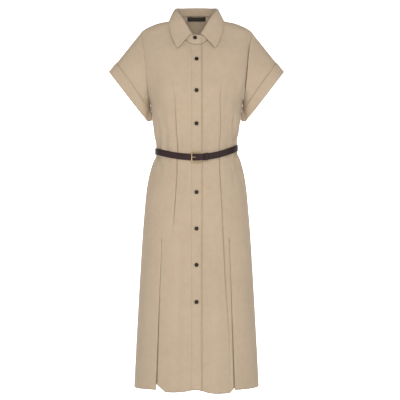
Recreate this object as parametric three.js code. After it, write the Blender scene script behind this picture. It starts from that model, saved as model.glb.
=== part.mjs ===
// A short-sleeved shirt dress in its worn form, hollow and open at neck, hem and cuffs, with its own belt.
// Millimetres, +Z up. The front faces -Y and the wearer's left side is +X.
// The origin lies at the base of the neck, midway between the high points of the shoulders.
import * as THREE from "three";

// Thickness of each cloth and leather wall, and the gap kept between neighbours
const CLOTH = 1.2;
const DOUBLED_CLOTH = 1.6;
const BAND_CLOTH = 1.0;
const LABEL_CLOTH = 0.8;
const STRAP = 2.2;
const GAP = 0.4;
const SEAM_HALF_GAP = 0.2;

// Roundness of the horizontal sections: 2 is an ellipse, and more is squarer
const ROUNDNESS = 2.25;

const FRONT = -1;
const BACK = 1;
const WEARERS_RIGHT = -1;
const WEARERS_LEFT = 1;

// Horizontal sections of the dress: height, half width, depth to the front and to the back
const BODY_SECTIONS = [
  [-1187, 202, 142, 148],
  [-1084, 197, 138, 146],
  [-927, 188.5, 131, 141],
  [-771, 179.5, 122, 134],
  [-693, 174.5, 117, 128],
  [-595, 166.5, 110, 118],
  [-556, 162.5, 107, 112],
  [-517, 156, 103, 104],
  [-478, 146, 98, 93],
  [-458, 139, 94, 84],
  [-442, 131, 90, 77],
  [-411, 130.5, 90, 76],
  [-399, 131.5, 93, 79],
  [-380, 136, 99, 84],
  [-341, 140, 109, 93],
  [-279, 148, 117, 99],
  [-240, 163, 118, 101],
  [-220, 171, 116.5, 101],
  [-178, 182, 106, 99.5],
  [-150, 187, 98, 97],
  [-106, 189.5, 83, 91],
  [-67, 186.5, 66, 82],
  [-37, 180, 54, 72],
  [-28, 170, 51, 69],
  [-17.5, 150, 47, 65],
  [-8.5, 126, 43.5, 61],
  [-4.5, 106, 42, 59],
  [0, 84, 40, 57],
  [9, 66, 36, 52],
  [24, 66, 30, 50],
];

// The armhole seam seen from the front: height, distance from the middle
const ARMHOLE = [
  [-279, 148],
  [-240, 155],
  [-178, 162],
  [-106, 168],
  [-67, 174],
  [-50, 177.5],
  [-37, 180],
];
const UNDERARM_HEIGHT = -279;
const SHOULDER_POINT_HEIGHT = -37;
const ARMHOLE_STEPS = 10;

// The neck seam is a quarter oval on each side, at the front and at the back
const NECK_HALF_WIDTH = 66;
const NECK_SIDE_HEIGHT = 9;
const NECK_FRONT_DROP = 96;
const NECK_BACK_RISE = 15;

// Belt line: its height at the middle and at the sides, and the rows between which the cloth is drawn in flat
const BELT_ROW = -426.5;
const BELT_FRONT_HEIGHT = -446;
const BELT_BACK_HEIGHT = -420;
const BELT_RIGHT_SIDE_HEIGHT = -424;
const BELT_LEFT_SIDE_HEIGHT = -413;
const BELT_BED = [-456, -398];
const BELT_SAG_ENDS = [-620, -285];

// The front hem's height along the half width, from the wearer's right (-1) to the left (1)
const HEM_ROW = -1187;
const HEM_EASE_FROM = -1000;
const HEM_BACK_HEIGHT = -1186;
const HEM_FRONT = [
  [-1, -1187],
  [-0.72, -1181],
  [-0.64, -1181],
  [-0.56, -1186],
  [-0.38, -1186],
  [-0.2, -1183],
  [0, -1177],
  [0.2, -1187],
  [0.32, -1190],
  [0.52, -1189],
  [0.62, -1181],
  [0.82, -1182],
  [1, -1184],
];

// Rows of the panels below the armhole, and the row from which the pleats open
const BODICE_ROWS = [-279, -300, -320, -341, -362, -382, -398, -411];
const HIP_ROWS = [-442, -457, -473, -494, -522, -558, -600, -645, -690];
const PLEAT_ROWS = [-706, -722, -740, -760, -785, -820, -870, -925, -980, -1035, -1090, -1140, HEM_ROW];
const PLEAT_TOP = -690;

// An inverted pleat: place as a share of the half width, fold radius, hidden depth and open width at the hem
const PLEAT_SHARE = { [WEARERS_RIGHT]: 0.625, [WEARERS_LEFT]: 0.595 };
const PLEAT_FOLD_RADIUS = 1.5;
const PLEAT_FOLD_STEPS = 3;
const PLEAT_SOFT_TOP = 2.5;
const PLEAT_TURN = THREE.MathUtils.degToRad(178);
const PLEAT_TURN_LENGTH = 85;
const PLEAT_DEPTH_TOP = 3;
const PLEAT_DEPTH_HEM = 34;
const PLEAT_GAP_TOP = 2.4;
const PLEAT_GAP_HEM = 12.5;

// Tucks over the waist: place as a share of the half width, half width of the groove, its depth and its reach
const TUCK_SHARE = { [WEARERS_RIGHT]: 0.43, [WEARERS_LEFT]: 0.5 };
const BACK_TUCK_SHARE = 0.46;
const TUCK_HALF_WIDTH = 5;
const TUCK_DEPTH = 3;
const TUCK_REACH = [-720, -640, -300, -200];

// Button stand
const PLACKET_HALF_WIDTH = 16;
const UNDERLAP_EDGE = -14;
const UNDERLAP_DROP = 1.9;
const UNDERLAP_FROM = [17.5, 24];

// Columns of a front panel above the pleat: share of the half width, kept below the armhole or not
const SHOULDER_COLUMNS = [
  [1, true],
  [0.985, true],
  [0.94, true],
  [0.87, false],
  [0.8, true],
  [0.7, true],
];
const NECK_COLUMN_SHARE = 0.36;
const FRONT_NECK_ANGLES = [0, 2, 6, 13, 24, 40, 58];
const FRONT_NECK_SHARES = [0.36, 0.345, 0.33, 0.305, 0.275, 0.23, 0.17];
const FRONT_NECK_KEPT = [true, false, false, false, false, true, false];
const ONLY_AT_SEAM = [2, 6];
const NECK_FLARE = 36;
const NECK_FLARE_FADE = 1.3;
const NECK_FLARE_ENDS = [0.36, 0.8];
const BACK_NECK_ANGLES = [0, 12, 30, 50, 70, 90];
const BACK_NECK_SHARES = [0.36, 0.32, 0.26, 0.18, 0.09, 0];
const BACK_NECK_KEPT = [true, false, true, false, true, true];

// Collar: along it from the middle of the back (0) to the leaf's front edge (1)
// place, roll line x y z, outer edge x y z
const COLLAR = [
  [0, 0, 50, 52, 0, 61, 4],
  [0.15, 24, 48.5, 51.5, 30, 60, 3],
  [0.3, 48, 36, 48.5, 63, 53, 1],
  [0.45, 64, 5, 43, 86, 6, 5],
  [0.58, 60, -23, 31, 88, -34, -4.5],
  [0.7, 47, -44, 9, 86, -53, -32],
  [0.82, 33, -56, -15, 78, -67, -61],
  [0.92, 21, -63, -37, 69, -77, -83],
  [1, 12.5, -68, -51, 60, -84, -99],
];
const COLLAR_SIDE_PLACE = 0.45;
const LEAF_FRONT_ANGLE = 78;
const LEAF_COLUMNS = 32;
const LEAF_ROWS = 4;
const LEAF_BULGE = 4;
const STAND_TOP_INSET = 1.6;
const STAND_TOP_DROP = 1.6;
const STAND_FRONT_TOP = [-68, -53];
const STAND_LEFT_ANGLES = [90, 78];
const STAND_RIGHT_ANGLES = [76, 90, 104];
const STAND_UNDERLAP_FROM = 70;
const STAND_FOOT_GAP = 0.64;
const STAND_FOOT_RAISE = 0.4;
const STAND_BACK_INSET = 0.5;

// Sleeve: ends of the cuff's opening seen from the front, the point under the arm where it turns in to
// the body, and half its depth
const CUFF_TOP = [284, -166];
const CUFF_BOTTOM = [156.5, -330];
const CUFF_UNDER = [148.8, -322];
const CUFF_UNDER_FROM = 0.93;
const CUFF_HALF_DEPTH = 40;
const SLEEVE_ROWS = 3;
const SLEEVE_BULGE = 5;
const TURN_UP_TOP = 38;
const TURN_UP_BOTTOM = 34;
const TURN_UP_UNDER = 26;
const TURN_UP_ROWS = 2;
const SLEEVE_SEAM = 0.64;
const LEAST_SLANT = 0.35;

// Under the arm the sleeve starts beside the body: where it begins to move out and where it is fully out,
// as minus the cosine round the armhole, and how far it moves
const UNDERARM_FROM = 0.2;
const UNDERARM_FULL = 0.85;
const UNDERARM_STANDOFF = 1.8;

// Buttons: heights down the front, place across, radius, and a profile from the middle of the back round
// the rim to the middle of the face, as distance in from the edge and height
const BUTTON_HEIGHTS = [-134, -236, -340, -557, -672, -786, -902];
const COLLAR_BUTTON_HEIGHT = -63;
const COLLAR_BUTTON_ACROSS = -4.5;
const BUTTON_RADIUS = 6.6;
const BUTTON_PROFILE = [
  [6.6, 0],
  [1.2, 0],
  [0, 1.3],
  [0.8, 2.6],
  [2, 2.1],
  [6.6, 1.7],
];
const BUTTON_ACROSS = 0.5;
const BUTTON_SEGMENTS = 12;
const COLLAR_BUTTON_GAP = 0.48;

// Woven label inside the back of the neck
const LABEL_HALF_LENGTH = 30;
const LABEL_HEIGHTS = [8, 22];
const LABEL_GAP = 1.6;
const LABEL_STEPS = 3;

// Belt: strap width, distance from the cloth, and the places where it starts and ends
const STRAP_HALF_WIDTH = 10.5;
const STRAP_CLEAR = 1.6;
const STRAP_STEPS = 64;
const STRAP_BENDS = [-16, -12, -8, -4, 0, 4, 8, 11, 14, 17.5, 19.5, 22, 24, 27, 31, 36, 40];
const STRAP_BEND_REACH = 1.5;
const STRAP_START = 13;
const TAIL_END = 126;
const TAIL_TIP_LENGTH = 9;
const TAIL_TIP_HALF_WIDTH = 5;
const PLACKET_LIFT = 1.9;
const PLACKET_LIFT_ENDS = [6, 22];
const STRAP_CLIMB = [-12, 11];
const STRAP_SETTLE = [19.5, 25];
const KEEPER_PLACE = [26.5, 37];
const KEEPER_WALL = 1.2;
const KEEPER_CHAMFER = 1;
const KEEPER_INNER_GAP = 0.6;
const KEEPER_OUTER_GAP = 1;
const BUCKLE_HALF_WIDTH = 17;
const BUCKLE_HALF_HEIGHT = 18;
const BUCKLE_BAR = 3.4;
const BUCKLE_THICKNESS = 2.6;
const BUCKLE_MIDDLE = 0.5;
const BUCKLE_CORNER = 5;
const PRONG_HALF_HEIGHT = 1.4;
const PRONG_LENGTH = 15;
const PRONG_THICKNESS = 1.6;
const PRONG_TIP_SHARE = 0.7;

const COLOURS = {
  cloth: 0xc6b298,
  button: 0x241a16,
  leather: 0x392927,
  brass: 0xc49a5a,
  label: 0x2e2a29,
};
const FINISH = {
  cloth: { color: COLOURS.cloth, roughness: 0.85, metalness: 0 },
  button: { color: COLOURS.button, roughness: 0.3, metalness: 0 },
  leather: { color: COLOURS.leather, roughness: 0.5, metalness: 0 },
  brass: { color: COLOURS.brass, roughness: 0.3, metalness: 0.9 },
  label: { color: COLOURS.label, roughness: 0.9, metalness: 0 },
};

const vec = (x, y, z) => new THREE.Vector3(x, y, z);
const mix = THREE.MathUtils.lerp;
const smooth = THREE.MathUtils.smoothstep;

// A smooth curve through a table's rows that never overshoots them
function curveOf(rows, column) {
  const at = rows.map((row) => row[0]);
  const value = rows.map((row) => row[column]);
  const rise = at.slice(1).map((x, i) => (value[i + 1] - value[i]) / (x - at[i]));
  const slope = value.map((_, i) => {
    if (i === 0) {
      return rise[0];
    }
    if (i === value.length - 1) {
      return rise[i - 1];
    }
    const [before, after] = [rise[i - 1], rise[i]];
    return before * after <= 0 ? 0 : (2 * before * after) / (before + after);
  });
  return (x) => {
    const clamped = Math.min(Math.max(x, at[0]), at[at.length - 1]);
    let i = 0;
    while (i < at.length - 2 && clamped > at[i + 1]) {
      i += 1;
    }
    const step = at[i + 1] - at[i];
    const t = (clamped - at[i]) / step;
    const hold = (1 + 2 * t) * (1 - t) ** 2;
    return (
      hold * value[i] +
      (1 - hold) * value[i + 1] +
      t * (1 - t) ** 2 * step * slope[i] -
      t ** 2 * (1 - t) * step * slope[i + 1]
    );
  };
}

const halfWidth = curveOf(BODY_SECTIONS, 1);
const frontDepth = curveOf(BODY_SECTIONS, 2);
const backDepth = curveOf(BODY_SECTIONS, 3);
const armholeAcross = curveOf(ARMHOLE, 1);
const frontHem = curveOf(HEM_FRONT, 1);

// How far the cloth lies before or behind the shoulder line, at a height and a place across
function depthAt(height, across, face) {
  const share = Math.min(Math.abs(across) / halfWidth(height), 1);
  const middle = face === FRONT ? frontDepth(height) : backDepth(height);
  return middle * (1 - share ** ROUNDNESS) ** (1 / ROUNDNESS);
}

// Height of the belt line at a signed share of the half width
function beltHeight(share, face) {
  const side = share < 0 ? BELT_RIGHT_SIDE_HEIGHT : BELT_LEFT_SIDE_HEIGHT;
  const middle = face === FRONT ? BELT_FRONT_HEIGHT : BELT_BACK_HEIGHT;
  return mix(middle, side, share * share);
}

// True height of a row at a signed share: rows sag with the belt and follow the hem
function rowHeight(row, share, face) {
  const drawnIn =
    smooth(row, BELT_SAG_ENDS[0], BELT_BED[0]) * (1 - smooth(row, BELT_BED[1], BELT_SAG_ENDS[1]));
  const sag = drawnIn * (beltHeight(share, face) - BELT_ROW);
  const backHem = mix(HEM_BACK_HEIGHT, frontHem(Math.sign(share)), share * share);
  const hem = face === FRONT ? frontHem(share) : backHem;
  const ease = 1 - smooth(row, HEM_ROW, HEM_EASE_FROM);
  return row + sag + ease * (hem - HEM_ROW);
}

// A point of the dress on a row below the armhole
function rowPoint(row, across, face, inward = 0) {
  const share = across / halfWidth(row);
  const depth = Math.max(depthAt(row, across, face) - inward, SEAM_HALF_GAP);
  return vec(across, face * depth, rowHeight(row, share, face));
}

// How deep a tuck's groove is at a height
function tuckDepth(height) {
  const [low, lowFull, highFull, high] = TUCK_REACH;
  return TUCK_DEPTH * smooth(height, low, lowFull) * (1 - smooth(height, highFull, high));
}

// Height of the shoulder seam at a distance from the middle, by halving
function shoulderHeight(across) {
  let [low, high] = [SHOULDER_POINT_HEIGHT, NECK_SIDE_HEIGHT];
  for (let i = 0; i < 40; i += 1) {
    const middle = (low + high) / 2;
    if (halfWidth(middle) > across) {
      low = middle;
    } else {
      high = middle;
    }
  }
  return low;
}

// A point of the neck seam, by its angle from the shoulder seam
function neckPoint(degrees, side, face) {
  const angle = THREE.MathUtils.degToRad(degrees);
  const across = side * NECK_HALF_WIDTH * Math.cos(angle);
  const rise = face === FRONT ? -NECK_FRONT_DROP : NECK_BACK_RISE;
  const height = NECK_SIDE_HEIGHT + rise * Math.sin(angle);
  const depth = Math.max(depthAt(height, across, face), SEAM_HALF_GAP);
  return vec(across, face * depth, height);
}

// A point of a section and its outward direction, by the length walked from a share of the half width
function walkSection(row, share, length, face) {
  const power = 2 / ROUNDNESS;
  const wide = halfWidth(row);
  const deep = face === FRONT ? frontDepth(row) : backDepth(row);
  const place = (angle) => [wide * Math.cos(angle) ** power, deep * Math.sin(angle) ** power];
  const strides = Math.max(1, Math.ceil(Math.abs(length) / 2));
  const nudge = 1e-4;
  let angle = Math.acos(share ** (1 / power));
  let along = [0, 0];
  for (let i = 0; i < strides; i += 1) {
    const [x0, y0] = place(angle - nudge);
    const [x1, y1] = place(angle + nudge);
    const speed = Math.hypot(x1 - x0, y1 - y0) / (2 * nudge);
    along = [(x1 - x0) / (2 * nudge * speed), (y1 - y0) / (2 * nudge * speed)];
    angle += length / strides / speed;
  }
  const [x, y] = place(angle);
  return { x, y, outX: along[1], outY: -along[0] };
}

// The half of an inverted pleat from its outer fold to the middle of its underlay,
// as [length along the cloth's face, depth behind it] counted from the pleat's middle
function pleatHalf(row) {
  const down = (PLEAT_TOP - row) / (PLEAT_TOP - HEM_ROW);
  const turn = PLEAT_TURN * smooth(PLEAT_TOP - row, 0, PLEAT_TURN_LENGTH);
  const depth = mix(PLEAT_DEPTH_TOP, PLEAT_DEPTH_HEM, down);
  const gap = mix(PLEAT_GAP_TOP, PLEAT_GAP_HEM, down * down);
  const r = PLEAT_FOLD_RADIUS * Math.min(PLEAT_SOFT_TOP, Math.PI / turn);
  const points = [];
  for (let i = 0; i <= PLEAT_FOLD_STEPS; i += 1) {
    const a = (turn * i) / PLEAT_FOLD_STEPS;
    points.push([r * Math.sin(a), r * (1 - Math.cos(a))]);
  }
  const [foldU, foldV] = points[points.length - 1];
  points.push([foldU + (depth / 2) * Math.cos(turn), foldV + (depth / 2) * Math.sin(turn)]);
  const [backU, backV] = [foldU + depth * Math.cos(turn), foldV + depth * Math.sin(turn)];
  for (let i = PLEAT_FOLD_STEPS; i >= 0; i -= 1) {
    const a = (turn * i) / PLEAT_FOLD_STEPS;
    const side = r * (Math.sin(turn) - Math.sin(a));
    points.push([backU + side, backV + r * (Math.cos(a) - Math.cos(turn))]);
  }
  const [underU, underV] = points[points.length - 1];
  const edge = turn > Math.PI / 2 ? r : r * Math.sin(turn);
  const reach = Math.max(1, gap / 2 + edge - underU);
  for (const share of [1 / 3, 2 / 3, 1]) {
    points.push([underU + share * reach, underV]);
  }
  const middle = underU + reach;
  return points.map(([u, v]) => [u - middle, v]);
}

// The whole pleat on one front, as points of a row
function pleatPoints(row, side) {
  const half = pleatHalf(row);
  const mirrored = half.slice(0, -1).reverse().map(([u, v]) => [-u, v]);
  return [...half, ...mirrored].map(([u, v]) => {
    const step = walkSection(row, PLEAT_SHARE[side], u, FRONT);
    const x = side * (step.x - step.outX * v);
    const y = -(step.y - step.outY * v);
    return vec(x, y, rowHeight(row, (side * step.x) / halfWidth(row), FRONT));
  });
}

// Columns of a panel from its side edge inwards, each with its place across a row and at the top edge
function frontColumns(side) {
  const seamEnd = armholeAcross(SHOULDER_POINT_HEIGHT);
  const shoulder = (share, shift, kept, extra = {}) => ({
    across: (row) => share * halfWidth(row) + shift,
    top: () => {
      const part = (share - NECK_COLUMN_SHARE) / (1 - NECK_COLUMN_SHARE);
      const across = Math.min(mix(NECK_HALF_WIDTH, seamEnd, part) + shift, seamEnd);
      return vec(side * across, FRONT * SEAM_HALF_GAP, shoulderHeight(across));
    },
    kept,
    seam: true,
    flare: 1 - smooth(share, NECK_FLARE_ENDS[0], NECK_FLARE_ENDS[1]),
    ...extra,
  });
  const tuck = TUCK_SHARE[side];
  const pleat = PLEAT_SHARE[side];
  const columns = SHOULDER_COLUMNS.map(([share, kept]) => shoulder(share, 0, kept));
  columns.push(shoulder(pleat, 0, true, { pleat: true }));
  columns.push(shoulder((pleat + tuck) / 2, 0, true, { abovePleat: true }));
  columns.push(shoulder(tuck, TUCK_HALF_WIDTH, true));
  columns.push(shoulder(tuck, 0, true, { tuck: true }));
  columns.push(shoulder(tuck, -TUCK_HALF_WIDTH, true));
  FRONT_NECK_ANGLES.forEach((angle, i) => {
    columns.push({
      across: (row) => FRONT_NECK_SHARES[i] * halfWidth(row),
      top: () => neckPoint(angle, side, FRONT),
      kept: FRONT_NECK_KEPT[i],
      onlyAtSeam: ONLY_AT_SEAM.includes(angle),
      seam: angle === 0,
      flare: Math.cos(THREE.MathUtils.degToRad(NECK_FLARE_FADE * angle)) ** 2,
    });
  });
  const edge = side === WEARERS_RIGHT ? -PLACKET_HALF_WIDTH : UNDERLAP_EDGE;
  const middle =
    side === WEARERS_RIGHT
      ? [PLACKET_HALF_WIDTH, 0, edge]
      : [UNDERLAP_FROM[1], UNDERLAP_FROM[0], 0, edge];
  middle.forEach((across) => {
    const angle = THREE.MathUtils.radToDeg(Math.acos(across / NECK_HALF_WIDTH));
    const drop = side === WEARERS_LEFT && across <= UNDERLAP_FROM[0] ? UNDERLAP_DROP : 0;
    columns.push({
      across: () => across,
      top: () => neckPoint(angle, side, FRONT).add(vec(0, drop, 0)),
      kept: true,
      drop,
      band: Math.abs(across) <= PLACKET_HALF_WIDTH,
    });
  });
  return columns;
}

function backColumns() {
  const top = armholeAcross(SHOULDER_POINT_HEIGHT);
  const half = SHOULDER_COLUMNS.map(([share, kept]) => ({ share, kept, seam: true }));
  const shifts = [TUCK_HALF_WIDTH, 0, -TUCK_HALF_WIDTH];
  shifts.forEach((shift) =>
    half.push({ share: BACK_TUCK_SHARE, shift, kept: true, seam: true, tuck: shift === 0 }),
  );
  BACK_NECK_ANGLES.forEach((angle, i) =>
    half.push({ share: BACK_NECK_SHARES[i], kept: BACK_NECK_KEPT[i], angle, seam: angle === 0 }),
  );
  const place = ({ share, shift = 0, kept, seam, tuck, angle }, side) => ({
    across: (row) => share * halfWidth(row) + shift,
    top: () => {
      if (angle !== undefined) return neckPoint(angle, side, BACK);
      const part = (share - NECK_COLUMN_SHARE) / (1 - NECK_COLUMN_SHARE);
      const across = Math.min(mix(NECK_HALF_WIDTH, top, part) + shift, top);
      return vec(side * across, BACK * SEAM_HALF_GAP, shoulderHeight(across));
    },
    kept,
    seam,
    tuck,
    side,
  });
  const right = half.map((column) => place(column, WEARERS_RIGHT));
  const left = half.slice(0, -1).reverse().map((column) => place(column, WEARERS_LEFT));
  return [...right, ...left];
}

// A panel's point on an upper row: between the underarm row and the top edge, fitted to the armhole
function upperPoint(column, level, side, face, edgeAcross) {
  const top = column.top();
  const height = mix(UNDERARM_HEIGHT, top.z, level);
  const low = column.across(UNDERARM_HEIGHT);
  const straight = mix(low, Math.abs(top.x) * Math.sign(side * top.x || 1), level);
  const towardsEdge = Math.max(low, 0) / halfWidth(UNDERARM_HEIGHT);
  const edgeTop = armholeAcross(SHOULDER_POINT_HEIGHT);
  const edgeStraight = mix(halfWidth(UNDERARM_HEIGHT), edgeTop, level);
  const flare = (column.flare || 0) * NECK_FLARE * Math.sqrt(1 - level) * level ** 3;
  const across = straight + flare + towardsEdge ** 2 * (edgeAcross - edgeStraight);
  const inward = (column.tuck ? tuckDepth(height) : 0) + (column.drop || 0);
  const depth = Math.max(depthAt(height, across, face) - inward, SEAM_HALF_GAP);
  return vec(side * across, face * depth, height);
}

// All rows of a panel, from the top edge down to the hem
function panelRows(columns, sideOf, face, pleatSide) {
  const rows = [];
  const tag = (point, column, edge) => Object.assign(point, { seam: edge, column });
  for (let k = ARMHOLE_STEPS; k > 0; k -= 1) {
    const level = (1 - Math.cos((Math.PI * k) / ARMHOLE_STEPS)) / 2;
    const edgeHeight = mix(UNDERARM_HEIGHT, SHOULDER_POINT_HEIGHT, level);
    const atTop = k === ARMHOLE_STEPS;
    const points = [];
    const places = [];
    columns.forEach((column, i) => {
      if (column.onlyAtSeam && !atTop) {
        return;
      }
      const point = atTop
        ? column.top()
        : upperPoint(column, level, sideOf(column), face, armholeAcross(edgeHeight));
      points.push(tag(point, column, atTop && column.seam));
      places.push(i);
    });
    rows.push({ points, places });
  }
  for (const row of [...BODICE_ROWS, ...HIP_ROWS, ...PLEAT_ROWS]) {
    const points = [];
    const places = [];
    columns.forEach((column, i) => {
      const dropped = column.onlyAtSeam || (!column.kept && row !== UNDERARM_HEIGHT);
      if (dropped || (column.abovePleat && row < PLEAT_TOP)) {
        return;
      }
      if (column.pleat && row < PLEAT_TOP) {
        const folded = pleatPoints(row, pleatSide);
        folded.forEach((point, j) => {
          points.push(point);
          places.push(i - 0.4 + (0.8 * j) / (folded.length - 1));
        });
        return;
      }
      const inward = (column.tuck ? tuckDepth(row) : 0) + (column.drop || 0);
      const point = rowPoint(row, sideOf(column) * column.across(row), face, inward);
      const atSide = i === 0 || (face === BACK && i === columns.length - 1);
      points.push(tag(point, column, atSide));
      places.push(i);
    });
    rows.push({ points, places });
  }
  return rows;
}

// Triangles between two rows of points, taken in step along both
function bridge(upper, lower, upperAt, lowerAt, loop) {
  const triangles = [];
  const [n, m] = [upper.places.length, lower.places.length];
  const [lastU, lastL] = loop ? [n, m] : [n - 1, m - 1];
  const placeOf = (row, i, count) => (i < count ? row.places[i] : row.places[0] + count);
  let [i, j] = [0, 0];
  while (i < lastU || j < lastL) {
    const nextU = i < lastU ? placeOf(upper, i + 1, n) : Infinity;
    const nextL = j < lastL ? placeOf(lower, j + 1, m) : Infinity;
    if (nextU <= nextL) {
      triangles.push([upperAt + (i % n), lowerAt + (j % m), upperAt + ((i + 1) % n)]);
      i += 1;
    } else {
      triangles.push([upperAt + (i % n), lowerAt + (j % m), lowerAt + ((j + 1) % m)]);
      j += 1;
    }
  }
  return triangles;
}

// A closed wall of even thickness on rows of points, open or running round in a loop
function wallOn(rows, thickness, loop = false) {
  const starts = [];
  const middle = [];
  for (const row of rows) {
    starts.push(middle.length);
    middle.push(...row.points);
  }
  const faces = [];
  for (let r = 0; r + 1 < rows.length; r += 1) {
    faces.push(...bridge(rows[r], rows[r + 1], starts[r], starts[r + 1], loop));
  }
  const normal = middle.map(() => vec(0, 0, 0));
  for (const face of faces) {
    const [a, b, c] = face.map((i) => middle[i]);
    const area = b.clone().sub(a).cross(c.clone().sub(a));
    for (const i of face) {
      normal[i].add(area);
    }
  }
  middle.forEach((point, i) => {
    if (point.seam) {
      normal[i].y = 0;
    }
    normal[i].normalize();
  });
  const count = middle.length;
  const out = middle.map((p, i) => p.clone().addScaledVector(normal[i], thickness / 2));
  const inside = middle.map((p, i) => p.clone().addScaledVector(normal[i], -thickness / 2));
  const triangles = [...faces, ...faces.map(([a, b, c]) => [a + count, c + count, b + count])];
  const used = new Map();
  for (const [a, b, c] of faces) {
    for (const [from, to] of [[a, b], [b, c], [c, a]]) {
      used.set(from + "/" + to, [from, to]);
    }
  }
  for (const [from, to] of used.values()) {
    if (!used.has(to + "/" + from)) {
      triangles.push([to, from, from + count], [to, from + count, to + count]);
    }
  }
  const geometry = closedGeometry([...out, ...inside], triangles);
  return { geometry, rows, normal, starts };
}

// A geometry of shared points, turned so that its faces point out
function closedGeometry(points, triangles) {
  let volume = 0;
  for (const [a, b, c] of triangles) {
    volume += points[a].dot(points[b].clone().cross(points[c]));
  }
  const turned = volume < 0 ? triangles.map(([a, b, c]) => [a, c, b]) : triangles;
  const geometry = new THREE.BufferGeometry();
  geometry.setAttribute("position", new THREE.Float32BufferAttribute(points.flatMap((p) => p.toArray()), 3));
  geometry.setIndex(turned.flat());
  geometry.computeVertexNormals();
  return geometry;
}

const evenRow = (points) => ({ points, places: points.map((_, i) => i) });

// Fronts and back
const frontOf = (side) => wallOn(panelRows(frontColumns(side), () => side, FRONT, side), CLOTH);
const frontRight = frontOf(WEARERS_RIGHT);
const frontLeft = frontOf(WEARERS_LEFT);
const back = wallOn(panelRows(backColumns(), (column) => column.side, BACK), CLOTH);

// A band lying on part of a panel, made from the panel's points moved out
function bandOn(panel, wanted, lift, thickness) {
  const rows = panel.rows.map((row, r) => {
    const points = [];
    row.points.forEach((point, i) => {
      if (point.column && wanted(point.column)) {
        const normal = panel.normal[panel.starts[r] + i].clone();
        normal.multiplyScalar(normal.y < 0 ? lift : -lift);
        points.push(point.clone().add(normal));
      }
    });
    return evenRow(points);
  });
  return wallOn(rows, thickness);
}

// The armhole's edge of the body on one side, as a loop from the shoulder down the front and up the back
function armholeLoop(side) {
  const front = side === WEARERS_RIGHT ? frontRight : frontLeft;
  const pick = (panel, column) =>
    panel.rows.slice(0, ARMHOLE_STEPS + 1).map((row, r) => {
      const i = column === 0 ? 0 : row.points.length - 1;
      return { point: row.points[i], normal: panel.normal[panel.starts[r] + i] };
    });
  const down = pick(front, 0);
  const up = pick(back, side === WEARERS_RIGHT ? 0 : 1).slice(1, -1).reverse();
  const loop = [...down, ...up];
  return loop.map(({ point, normal }, i) => {
    const centred = i % ARMHOLE_STEPS === 0 ? point.clone().setY(0) : point.clone();
    const outward = normal.clone();
    if (outward.x * side < 0) {
      outward.negate();
    }
    const under = smooth(-Math.cos((Math.PI * i) / ARMHOLE_STEPS), UNDERARM_FROM, UNDERARM_FULL);
    return centred.addScaledVector(outward, under * UNDERARM_STANDOFF);
  });
}

// How far a place round the sleeve belongs to its underside, which turns in to the body
function undersideAt(i, count) {
  return smooth(-Math.cos((2 * Math.PI * i) / count), CUFF_UNDER_FROM, 1);
}

// The cuff's opening, matched to the armhole's points
function cuffPoint(i, count, side) {
  const angle = (2 * Math.PI * i) / count;
  const rise = (1 + Math.cos(angle)) / 2;
  const under = undersideAt(i, count);
  const x = mix(mix(CUFF_BOTTOM[0], CUFF_TOP[0], rise), CUFF_UNDER[0], under);
  const z = mix(mix(CUFF_BOTTOM[1], CUFF_TOP[1], rise), CUFF_UNDER[1], under);
  return vec(side * x, -CUFF_HALF_DEPTH * Math.sin(angle), z);
}

// A point of the sleeve between the armhole (0) and the cuff's edge (1)
function sleevePoint(start, end, share, i, count) {
  const angle = (2 * Math.PI * i) / count;
  const bulge = SLEEVE_BULGE * Math.sin(Math.PI * share) * Math.sin(angle);
  return start.clone().lerp(end, share).add(vec(0, -bulge, 0));
}

// Each lengthwise line of the sleeve has a row at the seam, rows to the turn-up's edge, and rows under it
function sleeve(side) {
  const loop = armholeLoop(side);
  const count = loop.length;
  const rows = [];
  for (let r = 0; r <= SLEEVE_ROWS + TURN_UP_ROWS; r += 1) {
    const points = loop.map((point, i) => {
      const end = cuffPoint(i, count, side);
      const line = end.clone().sub(point);
      const around = loop[(i + 1) % count].clone().sub(loop[(i + count - 1) % count]);
      const slant = Math.max(Math.sin(line.angleTo(around)), LEAST_SLANT);
      const first = SLEEVE_SEAM / slant / line.length();
      const rise = (1 + Math.cos((2 * Math.PI * i) / count)) / 2;
      const width = mix(mix(TURN_UP_BOTTOM, TURN_UP_TOP, rise), TURN_UP_UNDER, undersideAt(i, count));
      const edge = 1 - width / line.length();
      const share =
        r <= SLEEVE_ROWS ? mix(first, edge, r / SLEEVE_ROWS) : mix(edge, 1, (r - SLEEVE_ROWS) / TURN_UP_ROWS);
      return sleevePoint(point, end, share, i, count);
    });
    rows.push(evenRow(points));
  }
  return wallOn(rows, CLOTH, true);
}

// The turned-up cuff, moved out from the sleeve's points
function turnUp(under) {
  const lift = (CLOTH + DOUBLED_CLOTH) / 2 + GAP;
  const rows = under.rows.slice(SLEEVE_ROWS).map(({ points }, r) => {
    const first = under.starts[SLEEVE_ROWS + r];
    const centre = points.reduce((sum, point) => sum.add(point), vec(0, 0, 0)).divideScalar(points.length);
    const moved = points.map((point, i) => {
      const outward = under.normal[first + i].clone();
      if (outward.dot(point.clone().sub(centre)) < 0) {
        outward.negate();
      }
      return point.clone().addScaledVector(outward, lift);
    });
    return evenRow(moved);
  });
  return wallOn(rows, DOUBLED_CLOTH, true);
}

// Collar tables as curves
const collarCurves = [1, 2, 3, 4, 5, 6].map((column) => curveOf(COLLAR, column));
function collarPoint(place, first) {
  const [x, y, z] = collarCurves.slice(first, first + 3).map((curve) => curve(Math.abs(place)));
  return vec((place < 0 ? WEARERS_RIGHT : WEARERS_LEFT) * x, y, z);
}

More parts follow.
